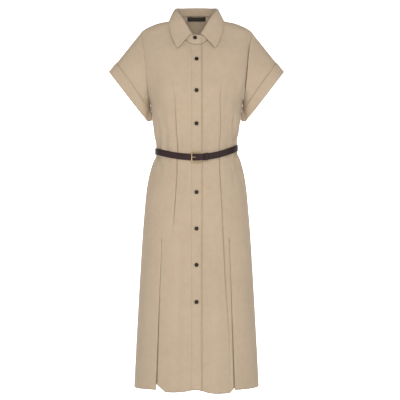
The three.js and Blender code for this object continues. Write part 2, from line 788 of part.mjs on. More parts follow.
// The leaf rolls over the stand and falls to its outer edge
function collarLeaf() {
  const rows = [];
  for (let r = 0; r <= LEAF_ROWS; r += 1) {
    const fall = r / LEAF_ROWS;
    const points = [];
    for (let i = 0; i <= LEAF_COLUMNS; i += 1) {
      const place = mix(-1, 1, i / LEAF_COLUMNS);
      const [roll, edge] = [collarPoint(place, 0), collarPoint(place, 3)];
      const out = edge.clone().sub(roll).setZ(0).normalize();
      const bulge = LEAF_BULGE * Math.sin(Math.PI * Math.sqrt(fall));
      points.push(roll.lerp(edge, fall).add(out.multiplyScalar(bulge)).add(vec(0, 0, bulge / 2)));
    }
    rows.push(evenRow(points));
  }
  return wallOn(rows, DOUBLED_CLOTH);
}

// Top of the stand over a neck angle
function standTop(degrees, side, face, drop) {
  if (face === FRONT && degrees > LEAF_FRONT_ANGLE) {
    const across = side * NECK_HALF_WIDTH * Math.cos(THREE.MathUtils.degToRad(degrees));
    return vec(across, STAND_FRONT_TOP[0] + STAND_TOP_INSET + drop, STAND_FRONT_TOP[1]);
  }
  const place =
    face === FRONT
      ? mix(COLLAR_SIDE_PLACE, 1, degrees / LEAF_FRONT_ANGLE)
      : COLLAR_SIDE_PLACE * (1 - degrees / 90);
  const roll = collarPoint(side * (place || 1e-9), 0);
  const inwards = vec(roll.x, roll.y, 0).normalize();
  return roll.addScaledVector(inwards, -STAND_TOP_INSET).add(vec(0, drop, -STAND_TOP_DROP));
}

// The stand, from the button end on the wearer's left round the back to the buttonhole end on the right
function collarStand() {
  const stops = [];
  const underlap = THREE.MathUtils.radToDeg(Math.acos(UNDERLAP_EDGE / NECK_HALF_WIDTH));
  for (const degrees of [underlap, ...STAND_LEFT_ANGLES, ...[...FRONT_NECK_ANGLES].reverse()]) {
    stops.push([degrees, WEARERS_LEFT, FRONT, degrees >= STAND_UNDERLAP_FROM ? UNDERLAP_DROP : 0]);
  }
  for (const degrees of BACK_NECK_ANGLES.slice(1)) {
    stops.push([degrees, WEARERS_LEFT, BACK, 0]);
  }
  for (const degrees of BACK_NECK_ANGLES.slice(1, -1).reverse()) {
    stops.push([degrees, WEARERS_RIGHT, BACK, 0]);
  }
  for (const degrees of [...FRONT_NECK_ANGLES, ...STAND_RIGHT_ANGLES]) {
    stops.push([degrees, WEARERS_RIGHT, FRONT, 0]);
  }
  const lift = CLOTH / 2 + STAND_FOOT_GAP;
  const bottom = stops.map(([degrees, side, face, drop]) => {
    const point = neckPoint(degrees, side, face);
    if (degrees === 0) {
      point.y = 0;
    }
    const angle = THREE.MathUtils.degToRad(degrees);
    const inwards = (face === FRONT ? 1 : STAND_BACK_INSET) * Math.cos(angle);
    const upwards = face === FRONT ? Math.sin(angle) + STAND_FOOT_RAISE : 1;
    return point.add(vec(-side * lift * inwards, drop, lift * upwards));
  });
  const top = stops.map(([degrees, side, face, drop]) => standTop(degrees, side, face, drop));
  const rowAt = (share) => evenRow(bottom.map((point, i) => point.clone().lerp(top[i], share)));
  return wallOn([0, 0.5, 1].map(rowAt), CLOTH);
}

// The label lies on the inside of the back, under the stand
function neckLabel() {
  const inward = (CLOTH + LABEL_CLOTH) / 2 + LABEL_GAP;
  const rows = LABEL_HEIGHTS.map((height) => {
    const points = [];
    for (let i = -LABEL_STEPS; i <= LABEL_STEPS; i += 1) {
      const across = (LABEL_HALF_LENGTH * i) / LABEL_STEPS;
      points.push(vec(across, depthAt(height, across, BACK) - inward, height));
    }
    return evenRow(points);
  });
  return wallOn(rows, LABEL_CLOTH);
}

// A dished button with a raised rim, its back on the given point and facing the front
function button(place, tilt) {
  const profile = BUTTON_PROFILE.map(([inset, height]) => new THREE.Vector2(BUTTON_RADIUS - inset, height));
  const shape = new THREE.LatheGeometry(profile, BUTTON_SEGMENTS);
  shape.rotateX(Math.PI - tilt);
  shape.translate(place.x, place.y, place.z);
  return shape;
}

// The front's slope at a height of the button stand, and a point on the band's face
function bandFace(height, lift) {
  const faceAt = (z) => -depthAt(rowFor(z), BUTTON_ACROSS, FRONT);
  const reach = BUTTON_RADIUS;
  const slope = (faceAt(height + reach) - faceAt(height - reach)) / (2 * reach);
  return { point: vec(BUTTON_ACROSS, faceAt(height) - lift, height), tilt: Math.atan(slope) };
}

// The row whose middle lies at a height, by halving
function rowFor(height) {
  let [low, high] = [HEM_ROW - 40, 60];
  for (let i = 0; i < 40; i += 1) {
    const middle = (low + high) / 2;
    if (rowHeight(middle, 0, FRONT) < height) {
      low = middle;
    } else {
      high = middle;
    }
  }
  return low;
}

// A point beside the cloth at the belt line, by an angle that is 0 at the wearer's left side, 90 at the
// middle of the front, 180 at the right side and 270 at the back
function beltPoint(degrees, lift, up) {
  const angle = THREE.MathUtils.degToRad(degrees);
  const face = Math.sin(angle) >= 0 ? FRONT : BACK;
  const power = 2 / ROUNDNESS;
  const share = Math.sign(Math.cos(angle)) * Math.abs(Math.cos(angle)) ** power;
  const wide = halfWidth(BELT_ROW);
  const deep = face === FRONT ? frontDepth(BELT_ROW) : backDepth(BELT_ROW);
  const depth = deep * Math.abs(Math.sin(angle)) ** power;
  const point = vec(share * wide, face * depth, beltHeight(share, face) + up);
  const out = vec(point.x / wide ** 2, point.y / deep ** 2, 0).normalize();
  return point.addScaledVector(out, lift);
}

// The angle at which the belt line reaches a place across the front, by halving
function beltAngle(across) {
  let [low, high] = [1, 179];
  for (let i = 0; i < 40; i += 1) {
    const middle = (low + high) / 2;
    if (beltPoint(middle, 0, 0).x > across) {
      low = middle;
    } else {
      high = middle;
    }
  }
  return low;
}

const LAYER_LIFT = CLOTH / 2 + STRAP_CLEAR + STRAP / 2;
const STRAP_STARTS_AT = beltAngle(STRAP_START);
const TAIL_ENDS_AT = beltAngle(TAIL_END) - 360;

// How much further out the strap lies where it passes over the button band
function bandLiftAt(degrees) {
  const turned = (degrees + 360) % 360;
  return PLACKET_LIFT * (1 - smooth(Math.abs(turned - 90), PLACKET_LIFT_ENDS[0], PLACKET_LIFT_ENDS[1]));
}

// How far the strap's middle lies from the cloth's, at an angle round from its buckle end
function strapLift(degrees) {
  const across = beltPoint(degrees, 0, 0).x;
  if (degrees > -180) {
    return LAYER_LIFT + bandLiftAt(degrees);
  }
  const overBar = BUCKLE_THICKNESS + STRAP + 4 * GAP;
  const overStrap = STRAP + GAP;
  const climb = smooth(across, STRAP_CLIMB[0], STRAP_CLIMB[1]) * overBar;
  const settle = smooth(across, STRAP_SETTLE[0], STRAP_SETTLE[1]) * (overBar - overStrap);
  return LAYER_LIFT + bandLiftAt(degrees) + climb - settle;
}

// Even steps round the strap, and closer ones where it bends over the buckle's bar
function strapAngles() {
  const angles = STRAP_BENDS.map((across) => beltAngle(across) - 360);
  for (let i = 0; i <= STRAP_STEPS; i += 1) {
    const degrees = mix(STRAP_STARTS_AT, TAIL_ENDS_AT, i / STRAP_STEPS);
    if (angles.every((bend) => Math.abs(bend - degrees) > STRAP_BEND_REACH)) angles.push(degrees);
  }
  return angles.sort((a, b) => b - a);
}

// The strap goes from the buckle's bar to the wearer's left, round the back to the front again, over the bar
// and on to the tail's end: the angle falls all the way
function beltStrap() {
  const rowsUp = [-1, 0, 1].map(() => []);
  const end = beltPoint(TAIL_ENDS_AT, 0, 0);
  for (const degrees of strapAngles()) {
    const toTip = degrees < -180 ? end.distanceTo(beltPoint(degrees, 0, 0)) : Infinity;
    const tip = Math.sqrt(Math.min(toTip / TAIL_TIP_LENGTH, 1));
    const half = mix(TAIL_TIP_HALF_WIDTH, STRAP_HALF_WIDTH, tip);
    [-1, 0, 1].forEach((level, r) => rowsUp[r].push(beltPoint(degrees, strapLift(degrees), level * half)));
  }
  return wallOn(rowsUp.map(evenRow), STRAP);
}

// The keeper loop holds both layers beside the buckle
function keeper() {
  const inner = LAYER_LIFT - STRAP / 2 - KEEPER_INNER_GAP - KEEPER_WALL / 2;
  const outer = LAYER_LIFT + 1.5 * STRAP + KEEPER_OUTER_GAP + KEEPER_WALL / 2;
  const half = STRAP_HALF_WIDTH + GAP + KEEPER_WALL / 2;
  const cut = KEEPER_CHAMFER;
  const corners = [
    [inner, cut - half],
    [inner + cut, -half],
    [outer - cut, -half],
    [outer, cut - half],
    [outer, 0],
    [outer, half - cut],
    [outer - cut, half],
    [inner + cut, half],
    [inner, half - cut],
    [inner, 0],
  ];
  const rows = [0, 0.5, 1].map((share) => {
    const degrees = beltAngle(mix(KEEPER_PLACE[0], KEEPER_PLACE[1], share));
    return evenRow(corners.map(([lift, up]) => beltPoint(degrees, lift + bandLiftAt(degrees), up)));
  });
  return wallOn(rows, KEEPER_WALL, true);
}

function buckleFrame() {
  const outline = (shape, w, h, r) => {
    shape.moveTo(-w + r, -h);
    shape.lineTo(w - r, -h);
    shape.quadraticCurveTo(w, -h, w, -h + r);
    shape.lineTo(w, h - r);
    shape.quadraticCurveTo(w, h, w - r, h);
    shape.lineTo(-w + r, h);
    shape.quadraticCurveTo(-w, h, -w, h - r);
    shape.lineTo(-w, -h + r);
    shape.quadraticCurveTo(-w, -h, -w + r, -h);
    return shape;
  };
  const [w, h] = [BUCKLE_HALF_WIDTH, BUCKLE_HALF_HEIGHT];
  const shape = outline(new THREE.Shape(), w, h, BUCKLE_CORNER);
  shape.holes.push(outline(new THREE.Path(), w - BUCKLE_BAR, h - BUCKLE_BAR, BUCKLE_CORNER - BUCKLE_BAR / 2));
  const geometry = new THREE.ExtrudeGeometry(shape, {
    depth: BUCKLE_THICKNESS,
    bevelEnabled: false,
    curveSegments: 4,
  });
  geometry.rotateX(Math.PI / 2);
  return plain(geometry);
}

// The prong rests on the outer bar and points along the strap
function buckleProng() {
  const shape = new THREE.Shape();
  shape.moveTo(0, -PRONG_HALF_HEIGHT * PRONG_TIP_SHARE);
  shape.lineTo(PRONG_LENGTH, -PRONG_HALF_HEIGHT);
  shape.lineTo(PRONG_LENGTH, PRONG_HALF_HEIGHT);
  shape.lineTo(0, PRONG_HALF_HEIGHT * PRONG_TIP_SHARE);
  shape.closePath();
  const geometry = new THREE.ExtrudeGeometry(shape, { depth: PRONG_THICKNESS, bevelEnabled: false });
  geometry.rotateX(Math.PI / 2);
  return plain(geometry);
}

// The same faces with their points shared, so that the body is closed
function plain(geometry) {
  const place = geometry.getAttribute("position");
  const points = [];
  const known = new Map();
  const indexOf = (i) => {
    const p = vec().fromBufferAttribute(place, i);
    const key = p.toArray().map((value) => value.toFixed(4)).join();
    if (!known.has(key)) {
      known.set(key, points.push(p) - 1);
    }
    return known.get(key);
  };
  const order = geometry.index ? [...geometry.index.array] : [...Array(place.count).keys()];
  const triangles = [];
  for (let i = 0; i < order.length; i += 3) {
    const [a, b, c] = [order[i], order[i + 1], order[i + 2]].map(indexOf);
    if (a !== b && b !== c && c !== a) {
      triangles.push([a, b, c]);
    }
  }
  return closedGeometry(points, triangles);
}

const dress = new THREE.Group();
function add(name, geometry, finish, place = vec(0, 0, 0)) {
  const mesh = new THREE.Mesh(geometry, new THREE.MeshStandardMaterial(FINISH[finish]));
  mesh.name = name;
  mesh.position.copy(place);
  dress.add(mesh);
}

add("front_right", frontRight.geometry, "cloth");
add("front_left", frontLeft.geometry, "cloth");
add("back", back.geometry, "cloth");
const bandLift = (CLOTH + BAND_CLOTH) / 2 + GAP;
add("placket", bandOn(frontRight, (column) => column.band, bandLift, BAND_CLOTH).geometry, "cloth");
for (const [name, side] of [["right", WEARERS_RIGHT], ["left", WEARERS_LEFT]]) {
  const tube = sleeve(side);
  add("sleeve_" + name, tube.geometry, "cloth");
  add("cuff_" + name, turnUp(tube).geometry, "cloth");
}
add("collar_leaf", collarLeaf().geometry, "cloth");
add("collar_stand", collarStand().geometry, "cloth");
add("neck_label", neckLabel().geometry, "label");

const bandTop = bandLift + BAND_CLOTH / 2 + GAP;
BUTTON_HEIGHTS.forEach((height, i) => {
  const { point, tilt } = bandFace(height, bandTop);
  add("button_" + (i + 1), plain(button(point, tilt)), "button");
});
const standFoot = neckPoint(90, WEARERS_RIGHT, FRONT);
const standSlope = (STAND_FRONT_TOP[0] + STAND_TOP_INSET - standFoot.y) / (STAND_FRONT_TOP[1] - standFoot.z);
const standMiddle = standFoot.y + standSlope * (COLLAR_BUTTON_HEIGHT - standFoot.z);
const standFace = standMiddle - CLOTH / 2 - COLLAR_BUTTON_GAP;
const collarButtonPlace = vec(COLLAR_BUTTON_ACROSS, standFace, COLLAR_BUTTON_HEIGHT);
add("button_collar", plain(button(collarButtonPlace, Math.atan(standSlope))), "button");

add("belt_strap", beltStrap().geometry, "leather");
add("belt_keeper", keeper().geometry, "leather");
const beltFace = beltPoint(90, LAYER_LIFT + PLACKET_LIFT + STRAP / 2 + GAP, 0);
add("buckle_frame", buckleFrame(), "brass", vec(BUCKLE_MIDDLE, beltFace.y, beltFace.z));
const prongPlace = vec(BUCKLE_MIDDLE - BUCKLE_HALF_WIDTH, beltFace.y - BUCKLE_THICKNESS - GAP, beltFace.z);
add("buckle_prong", buckleProng(), "brass", prongPlace);

export default dress;
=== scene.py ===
"""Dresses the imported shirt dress: cloth shells, folds, sewing, buttons, belt, materials, light and camera."""
import math

import bpy
import numpy as np
from bpy.props import FloatProperty, FloatVectorProperty, IntProperty, PointerProperty
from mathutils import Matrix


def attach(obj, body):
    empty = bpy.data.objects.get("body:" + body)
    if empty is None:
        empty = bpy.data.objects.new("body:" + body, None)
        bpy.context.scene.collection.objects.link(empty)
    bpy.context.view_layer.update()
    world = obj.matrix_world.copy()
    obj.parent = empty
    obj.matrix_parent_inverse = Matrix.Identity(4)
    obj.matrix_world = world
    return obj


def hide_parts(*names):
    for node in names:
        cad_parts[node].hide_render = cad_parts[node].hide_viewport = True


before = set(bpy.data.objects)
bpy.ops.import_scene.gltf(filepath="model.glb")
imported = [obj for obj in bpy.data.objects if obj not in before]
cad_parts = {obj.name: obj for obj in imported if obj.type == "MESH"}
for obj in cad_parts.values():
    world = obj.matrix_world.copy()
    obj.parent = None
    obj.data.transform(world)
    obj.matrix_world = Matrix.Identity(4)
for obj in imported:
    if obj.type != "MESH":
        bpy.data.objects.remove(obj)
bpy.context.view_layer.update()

bl_info = {
    "name": "Shirt Dress",
    "version": (1, 0, 0),
    "blender": (4, 5, 0),
    "location": "View3D > Sidebar > Dress",
    "description": "Builds a shirt dress with its folds, sewing, buttons and belt",
    "category": "Object",
}

MM = 0.001
FRONT, BACK = -1, 1
WEARERS_RIGHT, WEARERS_LEFT = -1, 1
SIDES = [("right", WEARERS_RIGHT), ("left", WEARERS_LEFT)]
ROUNDNESS = 2.25
SEAM_HALF_GAP = 0.2
GAP = 0.4
CLOTH = 1.2
DOUBLED_CLOTH = 1.6
BAND_CLOTH = 1.0
LABEL_CLOTH = 0.8

# Horizontal sections of the dress in mm: height, half width, depth to the front and to the back
BODY_SECTIONS = [
    (-1187, 202, 142, 148), (-1084, 197, 138, 146), (-927, 188.5, 131, 141), (-771, 179.5, 122, 134),
    (-693, 174.5, 117, 128), (-595, 166.5, 110, 118), (-556, 162.5, 107, 112), (-517, 156, 103, 104),
    (-478, 146, 98, 93), (-458, 139, 94, 84), (-442, 131, 90, 77), (-411, 130.5, 90, 76),
    (-399, 131.5, 93, 79), (-380, 136, 99, 84), (-341, 140.6, 109, 93), (-322, 143.8, 112, 95.5),
    (-300, 145.2, 114.5, 97), (-287, 147.9, 115.9, 98), (-279, 148, 117, 99), (-240, 163, 118, 101),
    (-220, 171, 116.5, 101), (-178, 182, 106, 99.5), (-150, 187, 98, 97), (-106, 189.5, 83, 91),
    (-67, 186.5, 66, 82), (-37, 180, 54, 72), (-28, 170, 51, 69), (-17.5, 150, 47, 65),
    (-8.5, 126, 43.5, 61), (-4.5, 106, 42, 59), (0, 84, 40, 57), (9, 66, 36, 52), (24, 66, 30, 50),
]
ARMHOLE = [(-279, 148), (-240, 155), (-178, 162), (-106, 168), (-67, 174), (-50, 177.5), (-37, 180)]
UNDERARM, SHOULDER_POINT = -279, -37
NECK_HALF_WIDTH, NECK_SIDE_HEIGHT, NECK_FRONT_DROP, NECK_BACK_RISE = 66, 9, 96, 15

# Belt line
BELT_ROW = -426.5
BELT_FRONT_HEIGHT, BELT_BACK_HEIGHT = -446, -420
BELT_RIGHT_SIDE_HEIGHT, BELT_LEFT_SIDE_HEIGHT = -424, -413
BELT_BED = (-456, -398)
BELT_SAG_ENDS = (-620, -285)

# Front hem: signed share of the half width, height
HEM_ROW, HEM_EASE_FROM, BACK_HEM = -1187, -1000, -1186
HEM_FRONT = [
    (-1, -1187), (-0.72, -1181), (-0.64, -1181), (-0.56, -1186), (-0.38, -1186), (-0.2, -1183),
    (0, -1177), (0.2, -1187), (0.32, -1190), (0.52, -1189), (0.62, -1181), (0.82, -1182), (1, -1184),
]

# Inverted pleats: a depth or gap is for the top and the hem, a notch is how far the underlay rises at the hem
PLEAT_TOP, PLEAT_EASE = -690, 10
PLEAT_SHARE = {WEARERS_RIGHT: 0.625, WEARERS_LEFT: 0.595}
PLEAT_FOLD_RADIUS = [(-1187, 2.3), (-800, 1.4), (-690, 0.8)]
PLEAT_SOFT_TOP = 1.25
PLEAT_TURN, PLEAT_TURN_LENGTH = math.radians(178), 44
PLEAT_DEPTH = (0.7, 34)
PLEAT_GAP = {WEARERS_RIGHT: (1.4, 6.4), WEARERS_LEFT: (1.4, 5)}
PLEAT_NOTCH = {WEARERS_RIGHT: 17, WEARERS_LEFT: 6}
# Distances over which the raised part of the hem begins: behind the face, and from the fold inwards
PLEAT_BEHIND = (2.5, 6)
HEM_CORNER = {WEARERS_RIGHT: (2, 19), WEARERS_LEFT: (1, 14)}
HEM_CORNER_HEIGHT = 60

# Columns and rows of the grids round a pleat
PLEAT_BAND_SHARE, PLEAT_BAND_CLEAR = 0.058, 0.006
PLEAT_ARC_STEPS, PLEAT_RUN_STEPS = 5, 6
FINE_ROWS_LENGTH, FINE_ROWS_STEP, PLAIN_ROWS_LENGTH = 96, 4, 400
WALK_STRIDE = 2

# Pressed tucks: height, place as a share of the half width, depth; a table for each side of the front
TUCKS = {
    WEARERS_RIGHT: [
        (-1187, 0.45, 0), (-760, 0.45, 0), (-700, 0.437, 1), (-650, 0.417, 2.8), (-600, 0.407, 4.2),
        (-520, 0.398, 5), (-430, 0.456, 5.2), (-330, 0.457, 4.2), (-253, 0.44, 2.2), (-200, 0.42, 0),
    ],
    WEARERS_LEFT: [
        (-1187, 0.53, 0), (-1110, 0.53, 1.2), (-1030, 0.53, 3), (-942, 0.519, 4), (-903, 0.51, 4.2),
        (-777, 0.489, 5), (-651, 0.482, 5), (-560, 0.479, 4.8), (-493, 0.487, 4.8), (-430, 0.555, 5.2),
        (-350, 0.55, 5.4), (-253, 0.48, 3.4), (-200, 0.446, 0),
    ],
}
BACK_TUCK = [
    (-1187, 0.46, 0), (-680, 0.46, 0), (-560, 0.46, 2.4),
    (-430, 0.46, 3.2), (-330, 0.46, 2.2), (-220, 0.46, 0),
]
TUCK_WALL, TUCK_SLOPE, TUCK_SOFT, TUCK_SHARP = 1.7, 3.2, 9.0, 0.6
TUCK_COLUMNS = np.array([7, 5, 3.4, 2.4, 1.6, 0.8, 0, -0.6, -1.2, -1.8, -2.4])
TUCK_COLUMNS_FROM, TUCK_COLUMNS_CLEAR, TUCK_COLUMNS_STEP = (-190, -60), 0.5, 0.6
TUCK_TOP_PLACE, TUCK_TOP_SCALE, TUCK_TOP_CLOSER = 0.3, 0.25, 0.7

# Soft folds in mm: start across and height, end across and height, half width, depth (below 0 for a ridge)
FRONT_CREASES = [
    (-41, -92, -36, -262, 9, 2.4), (-58, -60, -66, -180, 12, 1.6), (-74, -250, -82, -372, 8, 2.2),
    (-112, -262, -96, -404, 10, 2.6), (101, -215, 92, -404, 10, 2.8), (174, -52, 146, -330, 6, 3.6),
    (64, -110, 60, -240, 13, 2.2), (36, -150, 40, -330, 12, 1.6), (-30, -270, -34, -400, 9, 1.6),
    (121, -290, 130, -500, 5, 11), (106, -340, 101, -470, 6, 3), (-127, -310, -119, -500, 6, 8),
    (-100, -350, -90, -470, 6, 3), (-52, -360, -46, -470, 5, 2.4), (36, -366, 30, -470, 5, 2.2),
    (134, -448, 160, -600, 8, 6), (110, -452, 127, -548, 8, 3.4), (94, -452, 103, -520, 7, 2.2),
    (-134, -448, -160, -604, 8, 5), (-110, -452, -124, -535, 8, 3), (-88, -452, -95, -515, 7, 2.2),
    (-38, -455, -44, -540, 9, 1.6), (40, -455, 52, -560, 9, 2), (-52, -560, -64, -1230, 14, 3.2),
    (-28, -700, -34, -1230, 12, -1.6), (40, -600, 46, -1230, 13, 2.6), (66, -820, 74, -1230, 14, -1.8),
    (-88, -720, -104, -1230, 11, 2.6), (-148, -650, -172, -1230, 18, -3.4),
    (150, -640, 170, -1230, 18, -3.4), (-165, -590, -189, -1120, 10, 2.6),
    (168, -600, 188, -1150, 11, 2.6), (140, -150, 128, -300, 13, 2.2),
    (-138, -140, -128, -300, 13, 2.4),
]
CREASE_ENDS, CREASE_WANDER, CREASE_SPREAD = 0.8, 2.5, (0.75, 0.5)
CREASES_BESIDE_BAND, SIDE_SEAM_FADE = (22, 34), 7
BACK_CREASES = [
    (-70, -90, -40, -330, 18, 1.8), (62, -100, 44, -350, 16, 1.6), (-122, -180, -104, -404, 12, 2.2),
    (118, -170, 108, -404, 13, 2.0), (-118, -350, -112, -412, 7, 2.4), (119, -345, 114, -412, 7, 2.6),
    (-24, -340, -20, -410, 8, 1.4), (26, -352, 24, -410, 7, 1.2), (126, -446, 154, -600, 9, 3.0),
    (-127, -446, -157, -590, 9, 3.0), (100, -446, 116, -540, 8, 2.0), (-98, -446, -110, -530, 8, 1.8),
    (-30, -450, -36, -620, 11, 1.8), (34, -450, 42, -640, 12, 1.6), (-72, -600, -92, -1230, 22, 2.8),
    (78, -580, 96, -1230, 24, 2.6), (0, -640, 4, -1230, 26, 2.4), (-140, -640, -166, -1230, 18, -2.6),
    (144, -660, 166, -1230, 18, -2.4),
]

# Soft folds of a sleeve: start angle and share along it, end angle and share, half width in degrees, depth
SLEEVE_CREASES = [
    (118, 0.02, 78, 0.75, 11, 2.2), (140, 0.05, 112, 0.8, 9, 1.8), (58, 0.05, 40, 0.7, 12, 1.3),
    (22, 0.1, 16, 0.8, 9, 0.9), (236, 0.02, 276, 0.75, 11, 2.2), (214, 0.05, 240, 0.8, 9, 1.6),
    (304, 0.05, 322, 0.7, 12, 1.3),
]

PLACKET_HALF_WIDTH = 16
BAND_PRESSED, BAND_SEWN_CLOTH, BAND_SEWN_GAP = 12, 0.12, 0.02
UNDERLAP_EDGE, UNDERLAP_DROP, UNDERLAP_FROM = -14, 1.9, (17.5, 24)
FRONT_NECK = [(0, 0.36), (2, 0.345), (6, 0.33), (13, 0.305), (24, 0.275), (40, 0.23), (58, 0.17)]
BACK_NECK = [(0, 0.36), (12, 0.32), (30, 0.26), (50, 0.18), (70, 0.09), (90, 0)]
NECK_FLARE, NECK_FLARE_ENDS, NECK_FLARE_TURN = 36, (0.36, 0.8), 1.3
NECK_BENDS = [(0, 13, 9), (13, 58, 15), (58, 76, 7)]
MIDDLE_COLUMNS = 14

# Collar from the middle of the back (0) to the leaf's front edge (1): place, roll line xyz, outer edge xyz
COLLAR = [
    (0, 0, 50, 52, 0, 61, 4), (0.15, 24, 48.5, 51.5, 30, 60, 3), (0.3, 48, 36, 48.5, 63, 53, 1),
    (0.45, 64, 5, 43, 86, 6, 5), (0.58, 60, -23, 31, 88, -34, -4.5), (0.7, 47, -44, 9, 86, -53, -32),
    (0.82, 33, -56, -15, 78, -67, -61), (0.92, 21, -63, -37, 69, -77, -83),
    (1, 12.5, -68, -51, 60, -84, -99),
]
COLLAR_SIDE_PLACE, LEAF_FRONT_ANGLE = 0.45, 78
LEAF_BULGE, LEAF_LIFT, LEAF_WAVE, LEAF_WAVES, LEAF_STITCH_INSET = 4, 0.5, 0.7, 9, 5
STAND_TOP_INSET, STAND_TOP_DROP, STAND_FRONT_TOP = 1.6, 1.6, (-68, -53)
STAND_OVERLAP_ANGLE, STAND_UNDERLAP_FROM = 104, (62, 72)
STAND_LIFT = CLOTH / 2 + 1.6 * GAP

# Sleeves and turned-up cuffs
CUFF_TOP, CUFF_BOTTOM, CUFF_HALF_DEPTH = (284, -166), (156.5, -330), 40
CUFF_UNDER, CUFF_UNDER_FROM = (147.7, -322), 0.93
ARMHOLE_GAP, ARMHOLE_SEAM, ARMHOLE_SLANT = 0.2, 1.2 * GAP, 0.35
SLEEVE_BULGE, SLEEVE_CREASES_END = 5, (0.7, 0.95)
TURN_UP_TOP, TURN_UP_BOTTOM, TURN_UP_UNDER, CUFF_STITCH_ROW = 38, 34, 26, 1
UNDERARM_FROM, UNDERARM_FULL = 0.2, 0.85

BUTTON_HEIGHTS = [-134, -236, -340, -557, -672, -786, -902]
COLLAR_BUTTON = (-4.5, -63)
BUTTON_THICKNESS, BUTTON_ACROSS, BUTTON_REACH = 2.6, 0.5, 6.6
THREAD_APART, THREAD_HALF_LENGTH, THREAD_DEPTH = 1.1, 1.2, -1.95
HOLE_HALF_LENGTH, HOLE_DEPTH = 8.6, 0.32
# Half the thickness of a thread and its pitch
BUTTON_THREAD, BUTTONHOLE_THREAD = (0.45, 0.55), (0.3, 0.9)
STITCH_SHARE, STITCH_SIDES, STITCH_ENDS, STITCH_RISE = 0.68, 5, 0.35, 0.4
LABEL_HALF_LENGTH, LABEL_HEIGHTS = 30, (8, 22)

# Belt
STRAP, STRAP_HALF_WIDTH, STRAP_CLEAR, STRAP_START, TAIL_END = 2.2, 10.5, 1.6, 13, 126
TAIL_TIP_LENGTH, TAIL_TIP_HALF_WIDTH = 9, 5
STRAP_CORNER, STRAP_FINE = 0.9, (-18, 42, 1.6)
PLACKET_LIFT, PLACKET_ANGLES = 1.9, (6, 22)
STRAP_CLIMB, STRAP_SETTLE = (-12, 11), (19.5, 25)
KEEPER_PLACE, KEEPER_WALL, KEEPER_CORNER, KEEPER_PINCH = (26.5, 37), 1.2, 1.4, 0.25
BUCKLE_HALF_WIDTH, BUCKLE_HALF_HEIGHT, BUCKLE_BAR = 17, 18, 3.4
BUCKLE_THICKNESS, BUCKLE_MIDDLE, BUCKLE_CORNER, BUCKLE_EDGE = 2.6, 0.5, 5, 1.1
PRONG_HALF_HEIGHT, PRONG_HALF_DEPTH, PRONG_LENGTH = 1.4, 0.8, 15

# Materials: dark tone (a name or values), roughness, node group, strength and distance of the bump, the rest
MATERIAL_PREFIX = "dress_"
SOFT_SHINE = {"Specular IOR Level": 0.25}
LOW_SHINE = {"Specular IOR Level": 0.3}
CLOTH_SHEEN = {"Sheen Weight": 0.12, "Sheen Roughness": 0.5, "Specular IOR Level": 0.25}
MATERIALS = {
    "cloth": ("cloth_dark", 0.86, "woven_cloth", 0.35, 0.00025, CLOTH_SHEEN),
    "thread": ("cloth_dark", 0.8, None, 0.3, 0.0003, LOW_SHINE),
    "label": ("label", 0.85, "woven_cloth", 0.5, 0.0003, {"Sheen Weight": 0.1}),
    "button": ((0.009, 0.004, 0.002), 0.38, None, 0.05, 0.0003, LOW_SHINE),
    "leather": ("leather_dark", 0.55, "leather_grain", 0.2, 0.0003, SOFT_SHINE),
    "brass": ((0.26, 0.18, 0.09), 0.34, None, 0.04, 0.0003, {"Metallic": 1.0}),
}
ROUGHNESS_SPREAD = (-0.08, 0.06)
WEAVE_PITCH, GRAIN_SCALE = 0.0007, 900

# Stage in metres; a light has a name, a place, a size and its share of the key or fill power
KEY_LIGHTS = [("key", (0.15, -3.3, 1.5), 2.2, 1), ("front", (0, -4.2, -0.5), 1.6, 1.3)]
FILL_LIGHTS = [("fill_left", (-2.4, -1.4, -0.4), 1.6, 1), ("fill_right", (2.4, -1.6, -0.3), 1.6, 1)]
LIT_POINT = (0, 0, -0.5)
CAMERA_ACROSS, CAMERA_HEIGHT, CAMERA_LENS = 0.0114, -0.582, 96.6
FLOOR_HALF_WIDTH, FLOOR_ENDS = 6, (-6, 1.6)
BACKDROP_FROM, BACKDROP_RADIUS, BACKDROP_TOP = 2, 1.5, 5


def mix(a, b, t):
    return a + (b - a) * t


def smooth(x, low, high):
    t = np.clip((x - low) / (high - low), 0, 1)
    return t * t * (3 - 2 * t)


def curve(rows, column=1):
    """A smooth curve through a table's rows that never overshoots them."""
    at = np.array([row[0] for row in rows], float)
    value = np.array([row[column] for row in rows], float)
    rise = np.diff(value) / np.diff(at)
    slope = np.empty_like(value)
    slope[0], slope[-1] = rise[0], rise[-1]
    product = rise[:-1] * rise[1:]
    total = np.where(product > 0, rise[:-1] + rise[1:], 1)
    slope[1:-1] = np.where(product > 0, 2 * product / total, 0)

    def value_at(x):
        x = np.clip(x, at[0], at[-1])
        i = np.clip(np.searchsorted(at, x, side="right") - 1, 0, len(at) - 2)
        step = at[i + 1] - at[i]
        t = (x - at[i]) / step
        hold = (1 + 2 * t) * (1 - t) ** 2
        bend = t * (1 - t) ** 2 * slope[i] - t**2 * (1 - t) * slope[i + 1]
        return hold * value[i] + (1 - hold) * value[i + 1] + step * bend

    return value_at


half_width = curve(BODY_SECTIONS, 1)
front_depth = curve(BODY_SECTIONS, 2)
back_depth = curve(BODY_SECTIONS, 3)
armhole_across = curve(ARMHOLE)
front_hem = curve(HEM_FRONT)
pleat_radius = curve(PLEAT_FOLD_RADIUS)
front_neck_share = curve(FRONT_NECK)
back_neck_share = curve(BACK_NECK)
tuck_share = {side: curve(rows, 1) for side, rows in TUCKS.items()}
tuck_depth = {side: curve(rows, 2) for side, rows in TUCKS.items()}
back_tuck_share, back_tuck_depth = curve(BACK_TUCK, 1), curve(BACK_TUCK, 2)
collar_curves = [curve(COLLAR, column) for column in range(1, 7)]


def middle_depth(height, face):
    return front_depth(height) if face == FRONT else back_depth(height)


